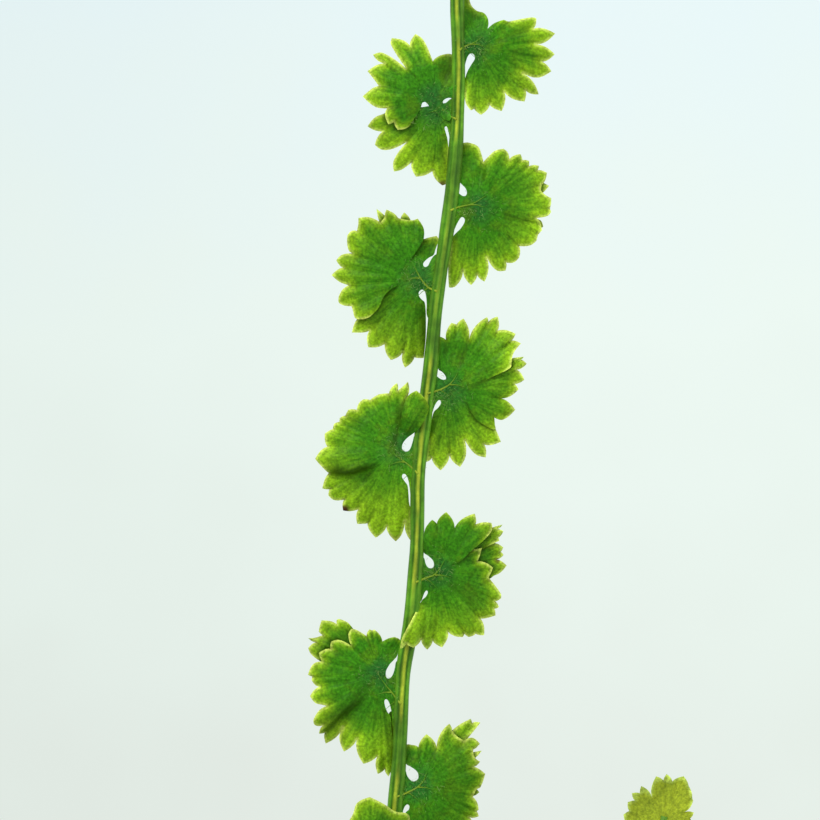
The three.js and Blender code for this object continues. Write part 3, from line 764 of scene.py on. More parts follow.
class Stalk:
    """A frond's stalk along a path of close points."""

    FADE: ClassVar[float] = 3.0  # how far beyond its ends a stretch fades out
    # Half of the cross-section, from the middle of the upper face to the back: [across, up], as shares of
    # the radius. A ridge stands between two grooves on the upper face.
    PROFILE: ClassVar[tuple[tuple[float, float], ...]] = (
        (0.0, 0.84), (0.14, 0.83), (0.25, 0.77), (0.34, 0.67), (0.42, 0.64), (0.51, 0.70), (0.62, 0.73),
        (0.76, 0.62), (0.88, 0.34), (0.95, 0.0), (0.92, -0.34), (0.74, -0.66), (0.42, -0.86), (0.0, -0.93),
    )

    def __init__(
        self, path: np.ndarray, right_at: Callable[[float, np.ndarray], np.ndarray],
        sizes: StalkSizes = SIZES, stretches: Sequence[Sequence[tuple[float, float]]] = (),
    ) -> None:
        """Measures the path and its axes.

        Args:
            path: the stalk's middle line.
            right_at: gives the direction to the right of the upper face at a share of the length.
            sizes: how thick the stalk is.
            stretches: heights from and to, where the ridge is dry and pale, and where the stalk gets painted
                shade.
        """
        self.path = path
        self.sizes = sizes
        self.stretches = stretches
        gaps = np.linalg.norm(np.diff(path, axis=0), axis=1)
        self.along = np.concatenate([[0.0], np.cumsum(gaps)])
        self.length = float(self.along[-1])
        self.right_at = right_at

    def at(self, along: float) -> Station:
        """Returns the station at one length.

        Args:
            along: the length from the stalk's foot.

        Returns:
            The station.
        """
        point = self._point(along)
        tangent = unit(self._point(along + 1.5) - self._point(along - 1.5))
        right = self.right_at(along / self.length, tangent)
        right = unit(right - tangent * np.dot(right, tangent))
        radius = self.sizes.radius(along / self.length)
        return Station(point, tangent, right, np.cross(right, tangent), radius)

    def _point(self, along: float) -> np.ndarray:
        """Returns the path's point at one length, kept within its ends."""
        return np.array([np.interp(along, self.along, self.path[:, axis]) for axis in range(3)])

    def along_at(self, height: float) -> float:
        """Returns the length at which a rising stalk reaches a height."""
        return float(np.interp(height, self.path[:, 2], self.along))

    def surface(self, pile: Pile, step: float, slot: int) -> None:
        """Adds the grooved stalk to a pile, closed at both ends.

        Args:
            pile: what it is added to.
            step: the distance between its rings.
            slot: the slot of the stalk's finish.
        """
        left_half = [(-a, b) for a, b in self.PROFILE[-2:0:-1]]
        across, rise = np.array([*self.PROFILE, *left_half]).T
        sides, half = len(across), len(self.PROFILE) - 1
        # The share round the stalk: 0.5 on the ridge, 1 or 0 at the back.
        side = np.arange(sides)
        turn = 0.5 + 0.5 * np.minimum(side, sides - side) / half * np.where(side <= half, 1.0, -1.0)
        marks = np.linspace(0.0, self.length, max(3, int(self.length / step)))
        points, places, traits = [], [], []
        for mark in marks:
            station = self.at(float(mark))
            wobble = 1.0 + 0.05 * math.sin(0.23 * mark + 1.7) + 0.03 * math.sin(0.71 * mark)
            # The ridge keeps to the middle but strays a little to either side.
            stray = 0.13 * math.sin(0.245 * mark + 0.6) * np.clip(rise, 0.0, 1.0) * (1.0 - np.abs(across))
            spread = (across + stray)[:, None] * station.right + rise[:, None] * station.normal
            points.append(station.point + spread * station.radius * wobble)
            dry = float(1.0 - smooth(mark, 6.0, 46.0))
            places.append(np.column_stack([turn, np.full(sides, mark), np.full(sides, dry)]))
            traits.append(np.tile([0.0, *self._shown(mark, station.point[2])], (sides, 1)))
        rows = np.vstack([*points, self._point(0.0), self._point(self.length)])
        place = np.vstack([*places, places[0][:1], places[-1][-1:]])
        trait = np.vstack([*traits, traits[0][:1], traits[-1][:1]])
        # The rings run the other way round, so their faces turn over.
        pile.add(rows, flipped(ring_faces(len(marks), sides)), place, trait, slot)

    def _within(self, height: float, group: Sequence[tuple[float, float]]) -> float:
        """Returns how far inside any of a group's stretches a height lies, from nought to one."""
        fade = self.FADE
        return max(float(smooth(height, a - fade, a) - smooth(height, b, b + fade)) for a, b in group)

    def _shown(self, along: float, height: float) -> tuple[float, float]:
        """Tells how the ridge looks at a place.

        Args:
            along: the length from the stalk's foot.
            height: the height over the ground.

        Returns:
            How clearly the ridge shows, and how strong the painted shade on the stalk is, both up to one.
        """
        if self.stretches:
            clear, shaded = (self._within(height, group) for group in self.stretches)
            # In the shaded stretches the ridge shows less and the stalk gets painted shade.
            return 0.3 + 0.65 * clear - 0.25 * shaded, 0.55 * shaded
        wave = math.sin(0.31 * along) + 0.6 * math.sin(0.13 * along + 2.0)
        return 0.55 + 0.35 * wave, max(0.0, -0.3 * wave)


def tube(
    pile: Pile, points: np.ndarray, radii: Sequence[float], place: np.ndarray, trait: np.ndarray, slot: int,
    sides: int = 5,
) -> None:
    """Adds a thin round tube through points, closed at both ends.

    Args:
        pile: what it is added to.
        points: its middle line.
        radii: its radius at each point.
        place: three place values at each point.
        trait: three trait values at each point.
        slot: the slot of its finish.
        sides: how many sides it has.
    """
    count = len(points)
    angles = 2.0 * math.pi * np.arange(sides)[:, None] / sides
    rings = []
    side_way = None
    for i in range(count):
        tangent = unit(points[min(i + 1, count - 1)] - points[max(i - 1, 0)])
        if side_way is None:
            side_way = np.cross(tangent, UP if abs(tangent[2]) < 0.9 else RIGHT)
        side_way = unit(side_way - tangent * np.dot(side_way, tangent))
        other = np.cross(tangent, side_way)
        rings.append(points[i] + radii[i] * (np.cos(angles) * side_way + np.sin(angles) * other))
    rows = np.vstack([*rings, points[0], points[-1]])
    source = [*np.repeat(np.arange(count), sides), 0, count - 1]
    pile.add(rows, ring_faces(count, sides), place[source], trait[source], slot)


# Leaflets


class Slot(Enum):
    """Where a frond's piece keeps its finishes."""

    BLADE = 0
    STALK = 1
    HAIR = 2
    SCALE = 3


class Mark(Enum):
    """What a point of a drawn outline is: a tooth's tip, a notch, or a point on a smooth edge."""

    TIP = "T"
    NOTCH = "N"
    SMOOTH = "s"
    NECK = "p"


@dataclass(frozen=True)
class Swell:
    """A place where a blade bulges towards its upper face: a hump round a bearing, from one reach on.

    A negative amount is a hollow, and dark is how much painted shade it gets, which some swells have with no
    hump at all.
    """

    bearing: float
    width: float
    amount: float
    start: float = 2.0
    full: float = 6.0
    dark: float = 0.0


@dataclass(frozen=True)
class Fold:
    """A crease between two places: the side above it stands out and the side below it falls back.

    sharp is how far each side takes to rise, and wide how far it reaches. dark is how strong the painted
    shade in the valley is over its band, and bow how far the crease bows between its ends.
    """

    start: tuple[float, float]
    end: tuple[float, float]
    depth: float
    sharp: float = 0.3
    wide: float = 1.8
    dark: float = 0.5
    band: float = 0.3
    bow: float = 0.2


@dataclass(frozen=True)
class Sheet:
    """One layer of a leaflet, drawn from its hub.

    The outline is written as marks. T is a tooth's tip, N a notch and s a point on a smooth edge, each with
    a bearing in degrees and a reach in millimetres: 0 points away from the stalk and 90 towards the frond's
    tip. p is a point of the neck between leaflet and stalk, by its place across and up. It runs from above
    the neck round the leaflet to below it. lift moves the layer towards the viewer further out, root does so
    at the hub, between the two reaches of opens, and rise moves it along the stalk.
    """

    outline: str
    lift: float = 0.0
    root: float = 0.0
    rise: float = 0.0
    tone: float = 0.5
    swells: tuple[Swell, ...] = ()
    folds: tuple[Fold, ...] = ()
    opens: tuple[float, float] = (1.4, 4.6)


@dataclass(frozen=True)
class Axes:
    """Where a leaflet sits: its hub and the directions away from the stalk, to the tip and of its face."""

    hub: np.ndarray
    out: np.ndarray
    up: np.ndarray
    face: np.ndarray

    def place(self, flat: np.ndarray, lift: np.ndarray) -> np.ndarray:
        """Returns points in space for flat points of the blade and their lifts."""
        return self.hub + flat[:, :1] * self.out + flat[:, 1:2] * self.up + lift[:, None] * self.face

    @property
    def right_handed(self) -> bool:
        """Whether the face is on the side that counter-clockwise triangles show."""
        return float(np.dot(np.cross(self.out, self.up), self.face)) > 0.0


Keys = list[tuple[Mark, np.ndarray]]


def read_outline(text: str, size: float = 1.0) -> Keys:
    """Reads an outline's marks.

    Args:
        text: the outline as a sheet writes it.
        size: the scale of its reaches.

    Returns:
        Each mark with its flat point.
    """
    keys = []
    for kind, first, second in re.findall(r"([TNsp])(-?[\d.]+),(-?[\d.]+)", text):
        mark = Mark(kind)
        if mark is Mark.NECK:
            spot = np.array([float(first), float(second)])
        else:
            angle = math.radians(float(first))
            spot = float(second) * np.array([math.cos(angle), math.sin(angle)])
        keys.append((mark, size * spot))
    return keys


def curve_through(keys: Keys, spacing: float, belly: float = 0.24) -> np.ndarray:
    """Draws a closed outline through its marks.

    Args:
        keys: the marks and their flat points.
        spacing: the distance between the drawn points.
        belly: how far a tooth's side bulges, as a share of its length.

    Returns:
        The outline's flat points.
    """
    count = len(keys)
    corner = [mark in (Mark.TIP, Mark.NOTCH) for mark, _ in keys]
    spots = [spot for _, spot in keys]
    drawn: list[np.ndarray] = []
    for i in range(count):
        j = (i + 1) % count
        start, end = spots[i], spots[j]
        chord = float(np.linalg.norm(end - start))
        if chord < 1e-6:
            continue
        steps = max(2, math.ceil(chord / spacing))
        shares = np.arange(steps)[:, None] / steps
        if corner[i] and corner[j] and keys[i][0] != keys[j][0]:
            at_tip, at_foot = (i, j) if keys[i][0] is Mark.TIP else (j, i)
            other = (at_tip - 1) % count if at_foot == (at_tip + 1) % count else (at_tip + 1) % count
            axis = spots[at_tip] - (spots[at_foot] + spots[other]) / 2.0
            away = np.array([-axis[1], axis[0]]) / (np.linalg.norm(axis) + 1e-9)
            if np.dot(away, spots[at_foot] - spots[other]) < 0.0:
                away = -away
            control = 0.5 * (spots[at_foot] + spots[at_tip]) + away * belly * chord
            path = (1 - shares) ** 2 * start + 2 * shares * (1 - shares) * control + shares**2 * end
        else:
            before, after = spots[(i - 1) % count], spots[(j + 1) % count]
            leave = (end - before) * chord / (np.linalg.norm(end - before) + 1e-9)
            arrive = (after - start) * chord / (np.linalg.norm(after - start) + 1e-9)
            if corner[i]:
                leave = 1.5 * (end - start) - 0.5 * arrive
            if corner[j]:
                arrive = 1.5 * (end - start) - 0.5 * leave
            s2, s3 = shares**2, shares**3
            path = (
                (2 * s3 - 3 * s2 + 1) * start + (s3 - 2 * s2 + shares) * leave
                + (3 * s2 - 2 * s3) * end + (s3 - s2) * arrive
            )
        drawn.append(path)
    return np.vstack(drawn)


def edge_distance(spots: np.ndarray, loop: np.ndarray, closed: bool = True) -> np.ndarray:
    """Measures how far flat points lie from a line.

    Args:
        spots: the flat points.
        loop: the line's points.
        closed: whether its last point joins its first.

    Returns:
        Each point's distance from the line.
    """
    starts = loop if closed else loop[:-1]
    ends = np.roll(loop, -1, axis=0) if closed else loop[1:]
    run = ends - starts
    lengths = (run**2).sum(1) + 1e-12
    best = np.full(len(spots), np.inf)
    for first in range(0, len(spots), 512):
        block = spots[first : first + 512, None, :] - starts[None]
        share = np.clip((block * run[None]).sum(2) / lengths, 0.0, 1.0)
        gap = block - share[..., None] * run[None]
        best[first : first + 512] = np.sqrt((gap**2).sum(2)).min(1)
    return best


def within(spots: np.ndarray, loop: np.ndarray) -> np.ndarray:
    """Tells which points lie inside an outline.

    Args:
        spots: the flat points.
        loop: the closed outline's points.

    Returns:
        True for each point inside.
    """
    inside = np.zeros(len(spots), bool)
    x, y = spots[:, 0], spots[:, 1]
    for (x0, y0), (x1, y1) in zip(loop, np.roll(loop, -1, axis=0)):
        crosses = (y0 > y) != (y1 > y)
        if crosses.any():
            at = x0 + (y - y0) * (x1 - x0) / ((y1 - y0) if y1 != y0 else 1e-12)
            inside ^= crosses & (x < at)
    return inside


@dataclass(frozen=True)
class BladeMaker:
    """Turns a drawn outline into a thin closed blade with a rounded rim."""

    thickness: float = 0.18
    round_rim: float = 0.09
    spacing: float = 0.26
    row_share: float = 0.866  # how far apart the rows of points are, as a share of the spacing
    edge_spacing: float = 0.16
    pleat: float = 0.42  # how deep the blade is pleated at full reach, one pleat for each tooth
    lap: float = 0.13  # how far one tooth stands over the next at a cleft
    groove: float = 0.12
    cleft_width: float = 0.13
    out_reach: float = 9.2
    droop: float = 1.0
    ruffle: float = 0.6
    shadow: float = 0.8  # how dark the painted shadow is on a layer where the layer in front of it ends
    shadow_width: float = 0.32
    ageing: float = 0.36  # how much yellower a leaflet is at its low side than at its hub

    def outline(self, sheet: Sheet, size: float = 1.0) -> np.ndarray:
        """Returns a layer's outline where it lies."""
        return curve_through(read_outline(sheet.outline, size), self.edge_spacing) + (0.0, sheet.rise)

    def mesh(self, loop: np.ndarray) -> tuple[np.ndarray, np.ndarray]:
        """Fills an outline with even triangles.

        Args:
            loop: the outline's flat points.

        Returns:
            The flat points and the triangles.
        """
        (left, low), (right, high) = loop.min(0), loop.max(0)
        step = self.spacing
        rows = []
        for k, y in enumerate(np.arange(low, high + step, step * self.row_share)):
            xs = np.arange(left + (step / 2 if k % 2 else 0.0), right + step, step)
            rows.append(np.column_stack([xs, np.full(len(xs), y)]))
        grid = np.vstack(rows)
        grid = grid[within(grid, loop)]
        grid = grid[edge_distance(grid, loop) > self.round_rim + 0.55 * step]
        # A row of points just inside the edge carries the rounding of the rim.
        run = np.roll(loop, -1, axis=0) - np.roll(loop, 1, axis=0)
        inward = np.column_stack([run[:, 1], -run[:, 0]]) / (np.linalg.norm(run, axis=1)[:, None] + 1e-9)
        rim = loop + inward * self.round_rim
        if not within(rim, loop).mean() > 0.5:
            rim = loop - inward * self.round_rim
        rim = rim[within(rim, loop)]
        rim = rim[edge_distance(rim, loop) > self.round_rim * 0.8]
        spots = [Vector(spot) for spot in np.vstack([loop, rim, grid])]
        made = delaunay_2d_cdt(spots, [], [list(range(len(loop)))], 1, 1e-5)
        flat = np.array([tuple(spot) for spot in made[0]])
        faces = np.array([face for face in made[2] if len(face) == 3])
        return flat, faces

    def clefts(self, keys: Keys, flat: np.ndarray, size: float) -> tuple[np.ndarray, np.ndarray]:
        """Finds the clefts that run inwards from the notches, where one tooth laps over the next.

        Args:
            keys: the outline's marks.
            flat: the flat points.
            size: the leaflet's scale.

        Returns:
            How deep in a cleft each point lies, which also sets its painted shade, and how far the lap lifts
            or sinks it, from -1 to 1.
        """
        depth, step = np.zeros(len(flat)), np.zeros(len(flat))
        width = max(self.cleft_width, 0.5 * self.spacing)
        for i, (mark, spot) in enumerate(keys):
            far = float(np.linalg.norm(spot))
            chance = draw(i + 3.7 * spot[0] + 1.3 * spot[1])
            if mark is not Mark.NOTCH or chance < 0.2 or far < 3.0 * size:
                continue
            way = -spot / far
            way = way + 0.25 * (draw(2.0 * i + spot[1]) - 0.5) * np.array([-way[1], way[0]])
            length = (0.7 + 2.6 * chance**2) * size
            away = flat - spot
            along = away @ way
            off = away @ np.array([-way[1], way[0]])
            taper = smooth(length - along, 0.0, 0.6 * length) * smooth(along, -0.6, 0.0)
            depth = np.maximum(depth, np.exp(-((off / width) ** 2)) * taper * (0.2 + 0.5 * chance))
            lap = np.tanh(off / width) * np.exp(-np.abs(off) / 0.7) * taper
            step = np.where(np.abs(lap) > np.abs(step), lap * (1 if i % 2 else -1), step)
        return depth, step

    def lift(
        self, sheet: Sheet, flat: np.ndarray, keys: Keys, size: float, phase: float
    ) -> tuple[np.ndarray, np.ndarray]:
        """Shapes a blade's surface.

        Args:
            sheet: the layer.
            flat: the flat points.
            keys: the outline's marks, whose tips and notches set the pleats.
            size: the leaflet's scale.
            phase: shifts the rim's waves.

        Returns:
            How far each point stands towards the viewer, and how much painted shade it gets in a crease, a
            cleft or a hollow.
        """
        reach = np.hypot(flat[:, 0], flat[:, 1])
        bearing = np.arctan2(flat[:, 1], flat[:, 0])
        share = reach / (self.out_reach * size)
        lift = size * share**2 * (self.ruffle * np.sin(3.0 * bearing + phase) - self.droop)
        teeth = sorted(
            (math.atan2(spot[1], spot[0]), 1.0 if mark is Mark.TIP else 0.0)
            for mark, spot in keys
            if mark in (Mark.TIP, Mark.NOTCH)
        )
        if len(teeth) > 2:
            ridge = np.interp(bearing, [t[0] for t in teeth], [t[1] for t in teeth])
            lift += self.pleat * size * np.clip(share, 0, 1.2) ** 1.4 * (ridge - 1.0)
        # A cleft's depth sinks its groove and is also painted as shade.
        crease, step = self.clefts(keys, flat, size)
        lift += size * (self.lap * step - self.groove * crease)
        near, far = size * sheet.opens[0], size * sheet.opens[1]
        lift += sheet.root + (sheet.lift - sheet.root) * smooth(reach, near, far)
        degrees = np.degrees(bearing)
        # Each swell bulges or hollows the blade, and its dark paints shade over its hump.
        for swell in sheet.swells:
            away = (degrees - swell.bearing + 180.0) % 360.0 - 180.0
            hump = np.exp(-((away / swell.width) ** 2)) * smooth(reach, swell.start, swell.full)
            lift += swell.amount * hump
            crease = np.maximum(crease, swell.dark * hump)
        for fold in sheet.folds:
            start, run = size * np.array(fold.start), size * (np.array(fold.end) - np.array(fold.start))
            length = float(np.linalg.norm(run))
            along = (flat - start) @ run / length**2
            off = (flat - start) @ np.array([-run[1], run[0]]) / length
            bow = 4.0 * fold.bow * along * (1.0 - along) + 0.06 * np.sin(9.0 * along + phase)
            off = off + size * bow
            window = smooth(along, -0.05, 0.4) * (1 - 0.8 * smooth(along, 0.85, 1.3))
            lift += window * fold.depth * size * np.tanh(off / fold.sharp) * np.exp(-np.abs(off) / fold.wide)
            # Painted shade lies along the crease, spreading further on the side above it.
            band = size * fold.band * (0.5 + 0.9 * np.clip(along, 0.0, 1.0))
            valley = np.exp(-((off / (np.where(off > 0.0, 1.9, 0.6) * band)) ** 2))
            crease = np.maximum(crease, fold.dark * window * valley)
        # The neck climbs from the side of the stalk, and fine waves roughen the blade.
        if any(mark is Mark.NECK for mark, _ in keys):
            lift += 0.4 * size * smooth(-flat[:, 0], 0.7 * size, 2.8 * size)
        waves = 0.07 * np.sin(2.3 * flat[:, 0] + 1.1 * phase) * np.sin(1.9 * flat[:, 1] + 2.0 * phase)
        ripple = 0.03 * np.sin(6.1 * flat[:, 0] + 2.0 * phase) * np.sin(5.3 * flat[:, 1] + phase)
        return lift + (waves + ripple) * size * smooth(reach, 1.0, 4.0), crease

    def add(
        self, pile: Pile, sheet: Sheet, axes: Axes, size: float, phase: float,
        spots: Sequence[tuple[float, float, float, float]] = (), covers: Sequence[np.ndarray] = (),
    ) -> None:
        """Adds one layer of a leaflet to a pile.

        Args:
            pile: what it is added to.
            sheet: the layer.
            axes: where the leaflet sits.
            size: the leaflet's scale.
            phase: shifts the rim's waves.
            spots: brown spots as flat places, radii and strengths.
            covers: the outlines of the layers in front of it, whose edges cast a painted shadow on it.
        """
        keys = read_outline(sheet.outline, size)
        loop = curve_through(keys, self.edge_spacing)
        flat, faces = self.mesh(loop)
        if not len(faces):
            LOG.warning("an outline of %d points gave no faces", len(loop))
            return
        rim = edge_distance(flat, loop)
        # The edge that the yellow rim follows leaves out the neck.
        ends = [spot for mark, spot in keys if mark is not Mark.NECK]
        start, end = (int(np.argmin(((loop - spot) ** 2).sum(1))) for spot in (ends[0], ends[-1]))
        margin = edge_distance(flat, np.roll(loop, -start, axis=0)[: (end - start) % len(loop) + 1], False)
        reach = np.hypot(flat[:, 0], flat[:, 1])
        # Towards the hub the edge stays green, further out where a layer starts from inside the leaflet.
        near, far = (1.6, 6.0) if any(mark is Mark.NECK for mark, _ in keys) else (4.5, 8.2)
        margin = margin + 1.2 * (1.0 - smooth(reach, near * size, far * size))
        lift, crease = self.lift(sheet, flat, keys, size, phase)
        moved = flat + (0.0, sheet.rise)
        # The layers in front cast a painted shadow along their edges.
        for cover in covers:
            gap = edge_distance(moved, cover)
            shade = self.shadow * np.exp(-((gap / self.shadow_width) ** 2)) * smooth(reach, 1.5, 4.0)
            crease = np.maximum(crease, shade)
        # Both faces share the points on the edge, and the blade thickens inwards from there.
        edge = rim < 1e-3
        half = np.where(edge, 0.0, 0.5 * self.thickness * smooth(rim, 0.0, 5.0 * self.round_rim))
        inner = np.flatnonzero(~edge)
        points = np.vstack([axes.place(moved, lift + half), axes.place(moved[inner], (lift - half)[inner])])
        below = np.arange(len(flat))
        below[inner] = len(flat) + np.arange(len(inner))
        both = np.vstack([faces, below[faces][:, ::-1]])
        if not axes.right_handed:
            both = both[:, ::-1]
        brown = np.zeros(len(flat))
        for x, y, radius, strength in spots:
            gap = np.hypot(moved[:, 0] - x, moved[:, 1] - y)
            brown = np.maximum(brown, strength * (1.0 - smooth(gap, 0.3 * radius, radius)))
        low_side = np.clip(-flat[:, 1] / (self.out_reach * size), -1.0, 1.0)
        tone = np.clip(sheet.tone + self.ageing * low_side, 0.0, 2.4)
        place = np.column_stack([flat / size, margin])
        trait = np.column_stack([tone, np.zeros(len(flat)), brown])
        # The underside is paler, though a young yellow blade looks alike on both sides.
        under = trait[inner] * (1.0, 0.0, 1.0) + (0.0, 1.0 - 0.75 * (sheet.tone > 0.9), 0.0)
        pile.add(
            points, both, np.vstack([place, place[inner]]), np.vstack([trait, under]), Slot.BLADE.value,
            np.concatenate([crease, 0.5 * crease[inner]]), np.concatenate([edge, edge[inner]]),
        )


@dataclass(frozen=True)
class DrawnLeaflet:
    """A leaflet of the upright stretch.

    It has its side, its hub, the drop of its little stalk, its layers, the pale vein that climbs its neck
    as places across and up, and its brown spots.
    """

    side: int
    hub: tuple[float, float]
    drop: float
    vein: tuple[tuple[float, float], ...]
    sheets: tuple[Sheet, ...]
    spots: tuple[tuple[float, float, float, float], ...] = ()


